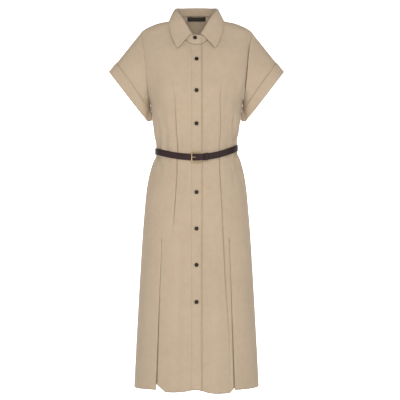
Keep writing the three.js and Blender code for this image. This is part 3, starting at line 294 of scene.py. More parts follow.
def depth_at(height, across, face):
    """How far the cloth lies before or behind the shoulder line."""
    share = np.minimum(np.abs(across) / half_width(height), 1)
    return middle_depth(height, face) * (1 - share**ROUNDNESS) ** (1 / ROUNDNESS)


def section_out(across, depth, wide, deep):
    """Unit directions square to the dress's oval section at its points."""
    out = np.stack([across / wide**2, depth / deep**2, 0 * across], axis=-1)
    return out / np.maximum(np.linalg.norm(out, axis=-1, keepdims=True), 1e-9)


def belt_height(share, face):
    side = np.where(np.asarray(share) < 0, BELT_RIGHT_SIDE_HEIGHT, BELT_LEFT_SIDE_HEIGHT)
    middle = BELT_FRONT_HEIGHT if face == FRONT else BELT_BACK_HEIGHT
    return mix(middle, side, np.square(share))


def row_height(row, share, face):
    """True height of a row at a signed share: rows sag with the belt and follow the hem."""
    drawn_in = smooth(row, BELT_SAG_ENDS[0], BELT_BED[0]) * (1 - smooth(row, BELT_BED[1], BELT_SAG_ENDS[1]))
    sag = drawn_in * (belt_height(share, face) - BELT_ROW)
    hem = front_hem(share) if face == FRONT else mix(BACK_HEM, front_hem(np.sign(share)), np.square(share))
    ease = 1 - smooth(row, HEM_ROW, HEM_EASE_FROM)
    return row + sag + ease * (hem - HEM_ROW)


SHOULDER_HEIGHTS = np.linspace(SHOULDER_POINT, NECK_SIDE_HEIGHT, 400)
SHOULDER_WIDTHS = half_width(SHOULDER_HEIGHTS)


def shoulder_height(across):
    return np.interp(across, SHOULDER_WIDTHS[::-1], SHOULDER_HEIGHTS[::-1])


def shoulder_points(across, side, face):
    """Points of the shoulder seam at some distances from the middle."""
    depth = np.full_like(across, face * SEAM_HALF_GAP)
    return np.stack([side * across, depth, shoulder_height(across)], axis=1)


def neck_point(degrees, side, face):
    """A point of the neck seam by its angle from the shoulder seam."""
    angle = np.radians(degrees)
    across = side * NECK_HALF_WIDTH * np.cos(angle)
    rise = -NECK_FRONT_DROP if face == FRONT else NECK_BACK_RISE
    height = NECK_SIDE_HEIGHT + rise * np.sin(angle)
    depth = np.maximum(depth_at(height, across, face), SEAM_HALF_GAP)
    return np.stack([across, face * depth, height], axis=-1)


def walk_section(row, share, length):
    """A point of the front's section after a length of cloth from a share, with its outward direction."""
    power = 2 / ROUNDNESS
    wide, deep = half_width(row), front_depth(row)

    def place(angle):
        return wide * math.cos(angle) ** power, deep * math.sin(angle) ** power

    strides = max(1, math.ceil(abs(length) / WALK_STRIDE))
    nudge = 1e-4
    angle = math.acos(share ** (1 / power))
    for _ in range(strides):
        (x0, y0), (x1, y1) = place(angle - nudge), place(angle + nudge)
        speed = math.hypot(x1 - x0, y1 - y0) / (2 * nudge)
        along = ((x1 - x0) / (2 * nudge * speed), (y1 - y0) / (2 * nudge * speed))
        angle += length / strides / speed
    x, y = place(angle)
    return x, y, along[1], -along[0]


def pleat_half(row, side):
    """Half of an inverted pleat, outer fold to middle: lengths along the face and depths behind it."""
    down = (PLEAT_TOP - row) / (PLEAT_TOP - HEM_ROW)
    turn = max(PLEAT_TURN * float(smooth(PLEAT_TOP - row, 0, PLEAT_TURN_LENGTH)), 1e-3)
    depth, gap = mix(*PLEAT_DEPTH, down), mix(*PLEAT_GAP[side], down * down)
    r = float(pleat_radius(row)) * min(PLEAT_SOFT_TOP, math.pi / turn)
    turns = turn * np.arange(PLEAT_ARC_STEPS + 1) / PLEAT_ARC_STEPS
    runs = np.arange(1, PLEAT_RUN_STEPS + 1) / PLEAT_RUN_STEPS
    first = np.stack([r * np.sin(turns), r * (1 - np.cos(turns))], axis=1)
    direction = np.array([math.cos(turn), math.sin(turn)])
    run = first[-1] + np.outer(depth * runs, direction)
    back = turns[::-1][1:]
    bent = [r * (math.sin(turn) - np.sin(back)), r * (np.cos(back) - math.cos(turn))]
    second = run[-1] + np.stack(bent, axis=1)
    edge = r if turn > math.pi / 2 else r * math.sin(turn)
    reach = max(1, gap / 2 + edge - second[-1][0])
    under = second[-1] + np.outer(reach * runs, [1, 0])
    points = np.concatenate([first, run, second, under])
    points[:, 0] -= second[-1][0] + reach
    return points


def crease_depth(creases, across, along, wander=CREASE_WANDER, spread=CREASE_SPREAD):
    """Sum of the soft folds of a table at each point."""
    total = np.zeros_like(across)
    for start, from_here, end, to_here, width, depth in creases:
        t = np.clip((along - from_here) / (to_here - from_here), 0, 1)
        middle = mix(start, end, t) + wander * np.sin(3 * np.pi * t + start)
        reach = width * (spread[0] + spread[1] * np.sin(np.pi * t))
        total += depth * np.sin(np.pi * t) ** CREASE_ENDS * np.exp(-(((across - middle) / reach) ** 2))
    return total


def tuck_groove(beyond, depth):
    """A pressed fold by the distance beyond its line: steep on its inner side and soft on its outer side."""
    wall = 1 - smooth(-beyond, 0, TUCK_WALL)
    fall = np.exp(-np.maximum(beyond, 0) / TUCK_SOFT)
    slope = TUCK_SHARP * (1 - smooth(beyond, 0, TUCK_SLOPE)) + (1 - TUCK_SHARP) * fall
    return depth * np.where(beyond < 0, wall, slope)


def with_tuck_columns(points, side, share, at, pleated):
    """Puts close columns along a tuck's line into a front's grid, before the column with the given number."""
    rows = []
    for row, folded in zip(points, pleated):
        start = at - 1 if folded else 0
        x, y, z = side * row[start:, 0], row[start:, 1], row[start:, 2]
        here = float(np.interp(0, share(z) * half_width(z) - x, x))
        reach = float(smooth(z.mean(), *TUCK_COLUMNS_FROM))
        here = mix(here, mix(side * row[at, 0], side * row[at - 1, 0], TUCK_TOP_PLACE), reach)
        room = side * row[at - 1, 0] - here - TUCK_COLUMNS_CLEAR if folded else np.inf
        scale = min(mix(1, TUCK_TOP_SCALE, reach), max(room, TUCK_COLUMNS_CLEAR) / TUCK_COLUMNS[0])
        close = here + TUCK_COLUMNS * scale
        outer, inner = side * row[:at, 0], side * row[at:, 0]
        step = TUCK_COLUMNS_STEP * (1 - TUCK_TOP_CLOSER * reach)
        if not folded:
            outer = np.maximum(outer, close[0] + step * np.arange(at, 0, -1))
        inner = np.minimum(inner, close[-1] - step * np.arange(1, len(inner) + 1))
        moved = np.concatenate([outer if not folded else [], close, inner])
        order = x[::-1]
        level = [np.interp(moved, order, values[::-1]) for values in (y, z)]
        fitted = np.stack([side * moved, *level], axis=-1)
        rows.append(np.concatenate([row[:at], fitted]) if folded else fitted)
    return np.array(rows)


def push_in(points, amount, face):
    """Moves points of the body square to its section, towards the inside."""
    height = points[..., 2]
    out = section_out(points[..., 0], points[..., 1], half_width(height), middle_depth(height, face))
    return points - out * amount[..., None]


def body_rows(step, upper_steps):
    """Levels above the underarm from the top edge down, then rows down to the hem."""
    levels = (1 - np.cos(np.pi * np.arange(upper_steps, 0, -1) / upper_steps)) / 2
    lower = [UNDERARM]
    while lower[-1] > PLEAT_TOP + step:
        lower.append(lower[-1] - step)
    fine_end = PLEAT_TOP - FINE_ROWS_LENGTH
    fine = np.arange(PLEAT_TOP, fine_end, -FINE_ROWS_STEP)
    for row in (*fine, *np.linspace(fine_end, HEM_ROW, int(PLAIN_ROWS_LENGTH / step))):
        if row < lower[-1] - 1:
            lower.append(row)
    return levels, np.array(lower, float)


def front_columns(side, count):
    """Columns of a front from the side seam on.

    Each has a factor of the half width, a fixed part, a top point and a flare; the pleat's are one block.
    """
    power = 2 / ROUNDNESS
    last = math.acos(FRONT_NECK[0][1] ** (1 / power))
    shares = np.cos(np.linspace(0, last, count)) ** power
    pleat = PLEAT_SHARE[side]
    block = 4 * (PLEAT_ARC_STEPS + PLEAT_RUN_STEPS) + 1
    fold = pleat + np.linspace(PLEAT_BAND_SHARE, -PLEAT_BAND_SHARE, block)
    outer = shares[shares > pleat + PLEAT_BAND_SHARE + PLEAT_BAND_CLEAR]
    inner = shares[shares < pleat - PLEAT_BAND_SHARE - PLEAT_BAND_CLEAR]
    shares = np.concatenate([outer, fold, inner])
    span = armhole_across(SHOULDER_POINT) - NECK_HALF_WIDTH
    top_x = NECK_HALF_WIDTH + span * (shares - FRONT_NECK[0][1]) / (1 - FRONT_NECK[0][1])
    tops = shoulder_points(top_x, side, FRONT)
    flare = 1 - smooth(shares, *NECK_FLARE_ENDS)
    angles = np.concatenate([np.linspace(*bend)[1:] for bend in NECK_BENDS])
    last_start, last_end, _ = NECK_BENDS[-1]
    toward = np.clip((angles - last_start) / (last_end - last_start), 0, 1)
    neck_scale = front_neck_share(angles) * (1 - toward)
    edge = -PLACKET_HALF_WIDTH if side == WEARERS_RIGHT else UNDERLAP_EDGE
    middle = np.linspace(PLACKET_HALF_WIDTH, edge, MIDDLE_COLUMNS)[1:]
    middle_angles = np.degrees(np.arccos(middle / NECK_HALF_WIDTH))
    no_width = np.zeros_like(middle)
    neck_flare = np.cos(np.radians(NECK_FLARE_TURN * angles)) ** 2
    neck = [neck_point(stops, side, FRONT) for stops in (angles, middle_angles)]
    return {
        "scale": np.concatenate([shares, neck_scale, no_width]),
        "fixed": np.concatenate([np.zeros_like(shares), PLACKET_HALF_WIDTH * toward, middle]),
        "top": np.concatenate([tops, *neck]),
        "flare": np.concatenate([flare, neck_flare, no_width]),
        "block": (len(outer), len(outer) + block),
    }


def upper_rows(columns, levels, side, face, drop):
    """Points between the top edge and the underarm row."""
    top = columns["top"]
    level = levels[:, None]
    wide = half_width(UNDERARM)
    height = mix(UNDERARM, top[None, :, 2], level)
    low = columns["scale"] * wide + columns["fixed"]
    straight = mix(low[None, :], (side * top[:, 0])[None, :], level)
    armhole = armhole_across(mix(UNDERARM, SHOULDER_POINT, level))
    edge = armhole - mix(wide, armhole_across(SHOULDER_POINT), level)
    flare = columns["flare"] * NECK_FLARE * np.sqrt(1 - level) * level**3
    across = straight + flare + (np.maximum(low, 0) / wide) ** 2 * edge
    depth = np.maximum(depth_at(height, across, face) - drop(across), SEAM_HALF_GAP)
    points = np.stack([side * across, face * depth, height], axis=-1)
    at_top = levels > 1 - 1e-9
    points[at_top] = top
    points[at_top, :, 1] += drop(side * top[:, 0])
    return points


def folded_in(row, points, columns, side):
    """Lays a row's block of columns into the inverted pleat and raises what lies behind at the hem."""
    start, end = columns["block"]
    half = pleat_half(row, side)
    whole = np.concatenate([half[:-1], (half * [-1, 1])[::-1]])
    folded = []
    for length, behind in whole:
        x, y, out_x, out_y = walk_section(row, PLEAT_SHARE[side], length)
        folded.append((side * (x - out_x * behind), -(y - out_y * behind), 0))
    folded = np.array(folded)
    folded[:, 2] = row_height(row, folded[:, 0] / half_width(row), FRONT)
    points[start:end] = mix(points[start:end], folded, float(smooth(PLEAT_TOP - row, 0, PLEAT_EASE)))
    raised = np.zeros(len(points))
    raised[start:end] = smooth(whole[:, 1], *PLEAT_BEHIND)
    inner = (start + end) // 2
    edge = side * points[end - 1, 0] + float(pleat_radius(row))
    corner = 1 - smooth(edge - side * points[inner:, 0], *HEM_CORNER[side])
    raised[inner:] = np.maximum(raised[inner:], corner)
    near_hem = 1 - float(smooth(row, HEM_ROW, HEM_ROW + HEM_CORNER_HEIGHT))
    points[:, 2] += PLEAT_NOTCH[side] * near_hem * raised
    return points


def front_grid(side, step=5.5, upper_steps=48, count=62):
    columns = front_columns(side, count)
    levels, lower = body_rows(step, upper_steps)

    def drop(across):
        if side == WEARERS_RIGHT:
            return np.zeros_like(across)
        return UNDERLAP_DROP * (1 - smooth(across, *UNDERLAP_FROM))

    upper = upper_rows(columns, levels, side, FRONT, drop)
    rows = []
    for row in lower:
        wide = half_width(row)
        across = columns["scale"] * wide + columns["fixed"]
        depth = np.maximum(depth_at(row, across, FRONT) - drop(across), SEAM_HALF_GAP)
        points = np.stack([side * across, -depth, row_height(row, side * across / wide, FRONT)], axis=-1)
        rows.append(folded_in(row, points, columns, side) if row < PLEAT_TOP else points)
    points = np.concatenate([upper, np.array(rows)])
    pleated = np.concatenate([np.zeros(len(upper), bool), lower < PLEAT_TOP])
    points = with_tuck_columns(points, side, tuck_share[side], columns["block"][1], pleated)
    across, height = points[..., 0], points[..., 2]
    inward = crease_depth(FRONT_CREASES, across, height) * smooth(side * across, *CREASES_BESIDE_BAND)
    beyond = side * across - tuck_share[side](height) * half_width(height)
    inward = inward + tuck_groove(beyond, tuck_depth[side](height))
    inward *= smooth(half_width(height) - np.abs(across), 0, SIDE_SEAM_FADE)
    return push_in(points, inward, FRONT)


def back_grid(step=6, upper_steps=44, count=56):
    power = 2 / ROUNDNESS
    last = math.acos(BACK_NECK[0][1] ** (1 / power))
    shares = np.cos(np.linspace(0, last, count)) ** power
    top = float(armhole_across(SHOULDER_POINT))
    top_x = mix(NECK_HALF_WIDTH, top, (shares - BACK_NECK[0][1]) / (1 - BACK_NECK[0][1]))
    angles = np.linspace(0, 90, 24)[1:]
    scale = np.concatenate([shares, back_neck_share(angles)])
    tops = np.concatenate([shoulder_points(top_x, 1, BACK), neck_point(angles, 1, BACK)])
    levels, lower = body_rows(step, upper_steps)
    columns = {"scale": scale, "fixed": np.zeros_like(scale), "top": tops, "flare": np.zeros_like(scale)}
    upper = upper_rows(columns, levels, 1, BACK, np.zeros_like)
    rows = []
    for row in lower:
        across = scale * half_width(row)
        depth = np.maximum(depth_at(row, across, BACK), SEAM_HALF_GAP)
        rows.append(np.stack([across, depth, np.full_like(across, row)], axis=-1))
    half = np.concatenate([upper, np.array(rows)])
    whole = np.concatenate([half * [-1, 1, 1], half[:, ::-1][:, 1:]], axis=1)
    below = len(levels)
    share = whole[below:, :, 0] / half_width(lower)[:, None]
    whole[below:, :, 2] = row_height(lower[:, None], share, BACK)
    across, height = whole[..., 0], whole[..., 2]
    beyond = np.abs(across) - back_tuck_share(height) * half_width(height)
    inward = crease_depth(BACK_CREASES, across, height) + tuck_groove(beyond, back_tuck_depth(height))
    inward *= smooth(half_width(height) - np.abs(across), 0, SIDE_SEAM_FADE)
    return push_in(whole, inward, BACK)


def placket_grid(front):
    """The button band on the right front's edge columns, thin along its sewn edge, with its thickness."""
    across = front[len(front) // 2, :, 0]
    band = front[:, np.abs(across) < PLACKET_HALF_WIDTH + 0.01]
    free = smooth(band[..., 0], -PLACKET_HALF_WIDTH, BAND_PRESSED - PLACKET_HALF_WIDTH)
    thick = mix(BAND_SEWN_CLOTH, BAND_CLOTH, free)
    rise = CLOTH / 2 + thick / 2 + mix(BAND_SEWN_GAP, GAP, free)
    normal = grid_normals(band)
    return band + normal * rise[..., None] * np.where(normal[..., 1:2] < 0, 1, -1), thick


def grid_normals(points, loop=False):
    """Unit normals of a grid of points."""
    if loop:
        around = np.roll(points, -1, axis=1) - np.roll(points, 1, axis=1)
    else:
        around = np.gradient(points, axis=1)
    normal = np.cross(np.gradient(points, axis=0), around)
    return normal / np.maximum(np.linalg.norm(normal, axis=-1, keepdims=True), 1e-12)


def outward(points, loop=False):
    """Normals of a grid turned away from the dress's middle line, or from the middle of each loop."""
    normal = grid_normals(points, loop)
    away = points - points.mean(axis=1, keepdims=True) if loop else points * [1, 1, 0]
    return normal * np.sign(np.sum(normal * away, axis=-1, keepdims=True))


def armhole_loop(side, count):
    """The armhole from the shoulder down the front and up the back, standing off the body under the arm."""
    angle = 2 * np.pi * np.arange(count) / count
    height = mix(UNDERARM, SHOULDER_POINT, (1 + np.cos(angle)) / 2)
    across = armhole_across(height)
    front = np.sin(angle) >= 0
    depth = np.where(front, -depth_at(height, across, FRONT), depth_at(height, across, BACK))
    depth[0] = depth[count // 2] = 0
    deep = np.where(front, front_depth(height), back_depth(height))
    out = section_out(across, depth, half_width(height), deep)
    stand_off = smooth(-np.cos(angle), UNDERARM_FROM, UNDERARM_FULL) * (CLOTH + ARMHOLE_GAP)
    points = np.stack([across, depth, height], axis=-1) + out * stand_off[:, None]
    return points * [side, 1, 1], angle


def sleeve_grids(side, count=112, rows=26, cuff_rows=10):
    """The sleeve and its turned-up cuff as loops of points."""
    start, angle = armhole_loop(side, count)
    rise = (1 + np.cos(angle)) / 2
    under = smooth(-np.cos(angle), CUFF_UNDER_FROM, 1)
    end_x, end_z = (mix(mix(CUFF_BOTTOM[k], CUFF_TOP[k], rise), CUFF_UNDER[k], under) for k in (0, 1))
    line = np.stack([side * end_x, -CUFF_HALF_DEPTH * np.sin(angle), end_z], axis=-1) - start
    length = np.linalg.norm(line, axis=-1)
    around = np.roll(start, -1, axis=0) - np.roll(start, 1, axis=0)
    around_length = np.maximum(np.linalg.norm(around, axis=-1), 0.01)
    cosine = np.abs(np.sum(line * around, axis=-1)) / (length * around_length)
    slant = np.maximum(np.sqrt(1 - np.minimum(cosine, 1) ** 2), ARMHOLE_SLANT)
    first = ARMHOLE_SEAM / slant / length
    edge = 1 - mix(mix(TURN_UP_BOTTOM, TURN_UP_TOP, rise), TURN_UP_UNDER, under) / length
    shares = [mix(first, edge, k / rows) for k in range(rows)]
    shares = np.array(shares + [mix(edge, 1, k / cuff_rows) for k in range(cuff_rows + 1)])
    sleeve = start + line * shares[..., None]
    sleeve[..., 1] -= SLEEVE_BULGE * np.sin(np.pi * shares) * np.sin(angle)
    degrees = np.broadcast_to(np.degrees(angle), shares.shape)
    inward = crease_depth(SLEEVE_CREASES, degrees, shares, 0, (1, 0))
    inward *= 1 - smooth(shares, *SLEEVE_CREASES_END)
    normal = outward(sleeve, loop=True)
    cuff = sleeve[rows:] + normal[rows:] * ((CLOTH + DOUBLED_CLOTH) / 2 + GAP)
    return sleeve - normal * inward[..., None], cuff


def collar_point(place, first):
    """A point of the collar's roll line (first 0) or outer edge (first 3)."""
    side = np.where(place < 0, WEARERS_RIGHT, WEARERS_LEFT)
    x, y, z = (c(np.abs(place)) for c in collar_curves[first : first + 3])
    return np.stack([side * x, y, z], axis=-1)


def leaf_grid(columns=150, rows=22):
    place = np.linspace(-1, 1, columns)
    fall = np.linspace(0, 1, rows)[:, None, None]
    roll, edge = collar_point(place, 0)[None], collar_point(place, 3)[None]
    out = (edge - roll) * [1, 1, 0]
    out /= np.linalg.norm(out, axis=-1, keepdims=True)
    bulge = LEAF_BULGE * np.sin(np.pi * np.sqrt(fall))
    wave = LEAF_WAVE * np.sin(np.pi * fall) * np.sin(LEAF_WAVES * place)[None, :, None]
    return mix(roll, edge, fall) + out * (bulge + wave) + np.array([0, 0, LEAF_LIFT]) * bulge


def stand_top(degrees, side, face, drop):
    if face == FRONT and degrees > LEAF_FRONT_ANGLE:
        across = side * NECK_HALF_WIDTH * math.cos(math.radians(degrees))
        return np.array([across, STAND_FRONT_TOP[0] + STAND_TOP_INSET + drop, STAND_FRONT_TOP[1]])
    if face == FRONT:
        place = mix(COLLAR_SIDE_PLACE, 1, degrees / LEAF_FRONT_ANGLE)
    else:
        place = COLLAR_SIDE_PLACE * (1 - degrees / 90)
    roll = collar_point(np.array(side * max(place, 1e-9)), 0)
    inwards = np.array([roll[0], roll[1], 0]) / math.hypot(roll[0], roll[1])
    return roll - STAND_TOP_INSET * inwards + [0, drop, -STAND_TOP_DROP]


def stand_grid():
    """The stand from the button end on the wearer's left round the back to the buttonhole end."""
    underlap = math.degrees(math.acos(UNDERLAP_EDGE / NECK_HALF_WIDTH))
    stops = [(d, WEARERS_LEFT, FRONT) for d in np.linspace(underlap, 0, 40)]
    stops += [(d, WEARERS_LEFT, BACK) for d in np.linspace(0, 90, 26)[1:]]
    stops += [(d, WEARERS_RIGHT, BACK) for d in np.linspace(90, 0, 26)[1:]]
    stops += [(d, WEARERS_RIGHT, FRONT) for d in np.linspace(0, STAND_OVERLAP_ANGLE, 40)[1:]]
    bottom, top = [], []
    for degrees, side, face in stops:
        underneath = side == WEARERS_LEFT and face == FRONT
        drop = UNDERLAP_DROP * float(smooth(degrees, *STAND_UNDERLAP_FROM)) if underneath else 0
        point = neck_point(degrees, side, face)
        angle = math.radians(degrees)
        inwards = math.cos(angle) * (1 if face == FRONT else 0.5)
        up = math.sin(angle) + 0.4 if face == FRONT else 1
        bottom.append(point + [-side * STAND_LIFT * inwards, drop, STAND_LIFT * up])
        top.append(stand_top(degrees, side, face, drop))
    bottom, top = np.array(bottom), np.array(top)
    return np.array([mix(bottom, top, share) for share in np.linspace(0, 1, 9)])


def label_grid():
    inward = (CLOTH + LABEL_CLOTH) / 2 + 4 * GAP
    heights = np.linspace(*LABEL_HEIGHTS, 6)[:, None]
    across = np.linspace(-LABEL_HALF_LENGTH, LABEL_HALF_LENGTH, 26)[None, :]
    depth = depth_at(heights, across, BACK) - inward
    return np.stack([across + 0 * heights, depth, heights + 0 * across], axis=-1)


def belt_point(degrees, lift, up):
    """A point beside the cloth at the belt line: 0 is the wearer's left side, 90 the middle of the front."""
    angle = math.radians(degrees)
    face = FRONT if math.sin(angle) >= 0 else BACK
    power = 2 / ROUNDNESS
    share = math.copysign(abs(math.cos(angle)) ** power, math.cos(angle))
    wide, deep = float(half_width(BELT_ROW)), float(middle_depth(BELT_ROW, face))
    y = face * deep * abs(math.sin(angle)) ** power
    out = section_out(share * wide, y, wide, deep)
    return np.array([share * wide, y, belt_height(share, face) + up]) + lift * out


def belt_angle(across):
    """The angle at which the belt line reaches a place across the front."""
    degrees = np.linspace(1, 179, 1800)
    wide = float(half_width(BELT_ROW))
    cosine = np.cos(np.radians(degrees))
    places = wide * np.sign(cosine) * np.abs(cosine) ** (2 / ROUNDNESS)
    return float(np.interp(across, places[::-1], degrees[::-1]))


LAYER_LIFT = CLOTH / 2 + STRAP_CLEAR + STRAP / 2


def band_lift_at(degrees):
    return PLACKET_LIFT * (1 - float(smooth(abs((degrees + 360) % 360 - 90), *PLACKET_ANGLES)))


def strap_lift(degrees):
    """How far the strap's middle lies from the cloth's."""
    lift = LAYER_LIFT + band_lift_at(degrees)
    if degrees > -180:
        return lift
    across = belt_point(degrees, 0, 0)[0]
    over_bar = BUCKLE_THICKNESS + STRAP + 4 * GAP
    climb = float(smooth(across, *STRAP_CLIMB)) * over_bar
    settle = float(smooth(across, *STRAP_SETTLE)) * (over_bar - STRAP - GAP)
    return lift + climb - settle


def strap_sections():
    """Closed oval sections of the strap, from the buckle's bar round the back and on to the tail's end."""
    start, stop = belt_angle(STRAP_START), belt_angle(TAIL_END) - 360
    near = [belt_angle(x) - 360 for x in np.arange(*STRAP_FINE)]
    tail = [stop + k for k in np.linspace(0, 6, 14)]
    angles = sorted({*np.linspace(start, stop, 300), *near, *tail}, reverse=True)
    end = belt_point(stop, 0, 0)
    sections = []
    for degrees in angles:
        to_tip = np.linalg.norm(end - belt_point(degrees, 0, 0)) if degrees < -180 else np.inf
        tip = math.sqrt(min(to_tip / TAIL_TIP_LENGTH, 1))
        half = mix(TAIL_TIP_HALF_WIDTH, STRAP_HALF_WIDTH, tip)
        profile = rounded_profile(half, STRAP / 2, STRAP_CORNER)
        sections.append([belt_point(degrees, strap_lift(degrees) + out, up) for up, out in profile])
    return np.array(sections)


def rounded_corners(half_across, half_up, radius, steps):
    """Points round a rectangle with rounded corners, each with its outward direction."""
    points = []
    for corner, (right, up) in enumerate([(1, 1), (-1, 1), (-1, -1), (1, -1)]):
        for k in range(steps + 1):
            angle = math.pi / 2 * (corner + k / steps)
            out_x, out_y = math.cos(angle), math.sin(angle)
            x, y = right * (half_across - radius), up * (half_up - radius)
            points.append((x + radius * out_x, y + radius * out_y, out_x, out_y))
    return points


def rounded_profile(half_long, half_short, radius):
    return [point[:2] for point in rounded_corners(half_long, half_short, radius, 3)]


def new_mesh(name, vertices, faces):
    """A smooth-shaded object from vertices in mm."""
    mesh = bpy.data.meshes.new(name)
    mesh.from_pydata([tuple(v) for v in np.asarray(vertices, float) * MM], [], faces)
    mesh.update()
    mesh.polygons.foreach_set("use_smooth", [True] * len(mesh.polygons))
    obj = bpy.data.objects.new(name, mesh)
    bpy.context.scene.collection.objects.link(obj)
    return obj


def grid_faces(rows, columns, loop=False, start=0):
    last = columns if loop else columns - 1
    return [
        (
            start + r * columns + c,
            start + r * columns + (c + 1) % columns,
            start + (r + 1) * columns + (c + 1) % columns,
            start + (r + 1) * columns + c,
        )
        for r in range(rows - 1)
        for c in range(last)
    ]


def shell(name, points, thickness, loop=False):
    """A thin cloth wall on a grid of points, with UVs in metres of cloth."""
    rows, columns = points.shape[:2]
    obj = new_mesh(name, points.reshape(-1, 3), grid_faces(rows, columns, loop))
    along = np.linalg.norm(np.diff(points, axis=1), axis=-1)
    u = np.concatenate([np.zeros((rows, 1)), np.cumsum(along, axis=1)], axis=1)
    down = np.linalg.norm(np.diff(points, axis=0), axis=-1)
    v = np.concatenate([np.zeros((1, columns)), np.cumsum(down, axis=0)], axis=0)
    uv = np.stack([u - u.mean(axis=1, keepdims=True), -v], axis=-1).reshape(-1, 2) * MM
    layer = obj.data.uv_layers.new(name="cloth")
    corners = np.empty(len(obj.data.loops), dtype=np.int32)
    obj.data.loops.foreach_get("vertex_index", corners)
    layer.data.foreach_set("uv", uv[corners].ravel())
    solid = obj.modifiers.new("thickness", "SOLIDIFY")
    solid.thickness = thickness * MM
    solid.offset = 0
    return obj


def taper(obj, share):
    """Thins a shell's wall to a share of its thickness at each point."""
    weights = obj.vertex_groups.new(name="thickness")
    for i, value in enumerate(share.ravel()):
        weights.add([i], float(value), "REPLACE")
    solid = obj.modifiers["thickness"]
    solid.vertex_group = weights.name
    solid.thickness_vertex_group = 0


def tube(name, sections):
    """A closed body through closed sections, with capped ends."""
    rows, columns = sections.shape[:2]
    faces = grid_faces(rows, columns, loop=True)
    faces.append(tuple(range(columns))[::-1])
    faces.append(tuple(range((rows - 1) * columns, rows * columns)))
    return new_mesh(name, sections.reshape(-1, 3), faces)


def along_line(points, run, at):
    return np.array([np.interp(at, run, points[:, k]) for k in range(3)])


def stitches(name, lines, size, pitch):
    """Short raised threads along lines of points, as one mesh."""
    vertices, faces = [], []
    rings = ((0, STITCH_ENDS), (0.5, 1), (1, STITCH_ENDS))
    for points, normals in lines:
        points, normals = np.asarray(points), np.asarray(normals)
        steps = np.linalg.norm(np.diff(points, axis=0), axis=1)
        run = np.concatenate([[0], np.cumsum(steps)])
        for at in np.arange(pitch, run[-1] - pitch, pitch):
            a, b = along_line(points, run, at), along_line(points, run, at + STITCH_SHARE * pitch)
            normal = along_line(normals, run, at)
            normal /= np.linalg.norm(normal)
            along = (b - a) / np.linalg.norm(b - a)
            side = np.cross(normal, along)
            first = len(vertices)
            for share, swell in rings:
                for k in range(STITCH_SIDES):
                    angle = 2 * math.pi * k / STITCH_SIDES
                    offset = side * math.cos(angle) + normal * (math.sin(angle) + STITCH_RISE)
                    vertices.append(mix(a, b, share) + size * swell * offset)
            faces += grid_faces(len(rings), STITCH_SIDES, loop=True, start=first)
            faces.append(tuple(range(first, first + STITCH_SIDES))[::-1])
            last = first + (len(rings) - 1) * STITCH_SIDES
            faces.append(tuple(range(last, last + STITCH_SIDES)))
    return new_mesh(name, vertices, faces)


def declare(obj, nodes, material):
    """Puts a finished piece on the frame."""
    obj.data.materials.clear()
    obj.data.materials.append(material)
    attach(obj, "root")
    if nodes:
        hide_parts(*nodes)
    return obj


# Materials


def group(name, input_name, value):
    """A new shader node group with one input, a height for bump and a shade for colour."""
    tree = bpy.data.node_groups.new(name, "ShaderNodeTree")
    entry = tree.interface.new_socket(input_name, in_out="INPUT", socket_type="NodeSocketFloat")
    entry.default_value = value
    for socket in ("Height", "Shade"):
        tree.interface.new_socket(socket, in_out="OUTPUT", socket_type="NodeSocketFloat")
    return tree, tree.nodes.new("NodeGroupInput").outputs[input_name], tree.nodes.new("NodeGroupOutput")


def preset(made, inputs):
    """Sets a node's inputs by their names."""
    for name, value in inputs.items():
        made.inputs[name].default_value = value
    return made


def node(tree, kind, inputs=None, **values):
    made = tree.nodes.new(kind)
    for key, value in values.items():
        setattr(made, key, value)
    return preset(made, inputs or {})


def noise(tree, vector, scale, detail=3, roughness=0.5):
    made = node(tree, "ShaderNodeTexNoise", {"Scale": scale, "Detail": detail, "Roughness": roughness})
    tree.links.new(vector, made.inputs["Vector"])
    return made.outputs["Fac"]


def maths(tree, operation, a, b=0.0):
    made = node(tree, "ShaderNodeMath", operation=operation)
    for socket, value in zip(made.inputs, (a, b)):
        if isinstance(value, (int, float)):
            socket.default_value = value
        else:
            tree.links.new(value, socket)
    return made.outputs[0]


def cloth_group():
    """Woven cloth: a height for bump and a factor for colour."""
    tree, threads, out = group("woven_cloth", "Threads per metre", 1 / WEAVE_PITCH)
    place = node(tree, "ShaderNodeTexCoord")
    split = node(tree, "ShaderNodeSeparateXYZ")
    tree.links.new(place.outputs["UV"], split.inputs[0])
    turns = maths(tree, "MULTIPLY", threads, 2 * math.pi)
    u, v = (maths(tree, "MULTIPLY", split.outputs[axis], turns) for axis in "XY")
    warp = maths(tree, "SINE", maths(tree, "ADD", u, v))
    weft = maths(tree, "SINE", maths(tree, "SUBTRACT", u, maths(tree, "MULTIPLY", v, 0.5)))
    weave = maths(tree, "ADD", maths(tree, "MULTIPLY", warp, 0.6), maths(tree, "MULTIPLY", weft, 0.4))
    body = place.outputs["Object"]
    fibre = noise(tree, body, 900, 4, 0.6)
    cloud = noise(tree, body, 9, 3, 0.55)
    slub = noise(tree, body, 60, 4, 0.6)
    height = maths(tree, "ADD", maths(tree, "MULTIPLY", weave, 0.35), maths(tree, "MULTIPLY", fibre, 0.9))
    shade = maths(tree, "ADD", maths(tree, "MULTIPLY", cloud, 0.5), maths(tree, "MULTIPLY", slub, 0.5))
    tree.links.new(height, out.inputs["Height"])
    tree.links.new(shade, out.inputs["Shade"])
    return tree


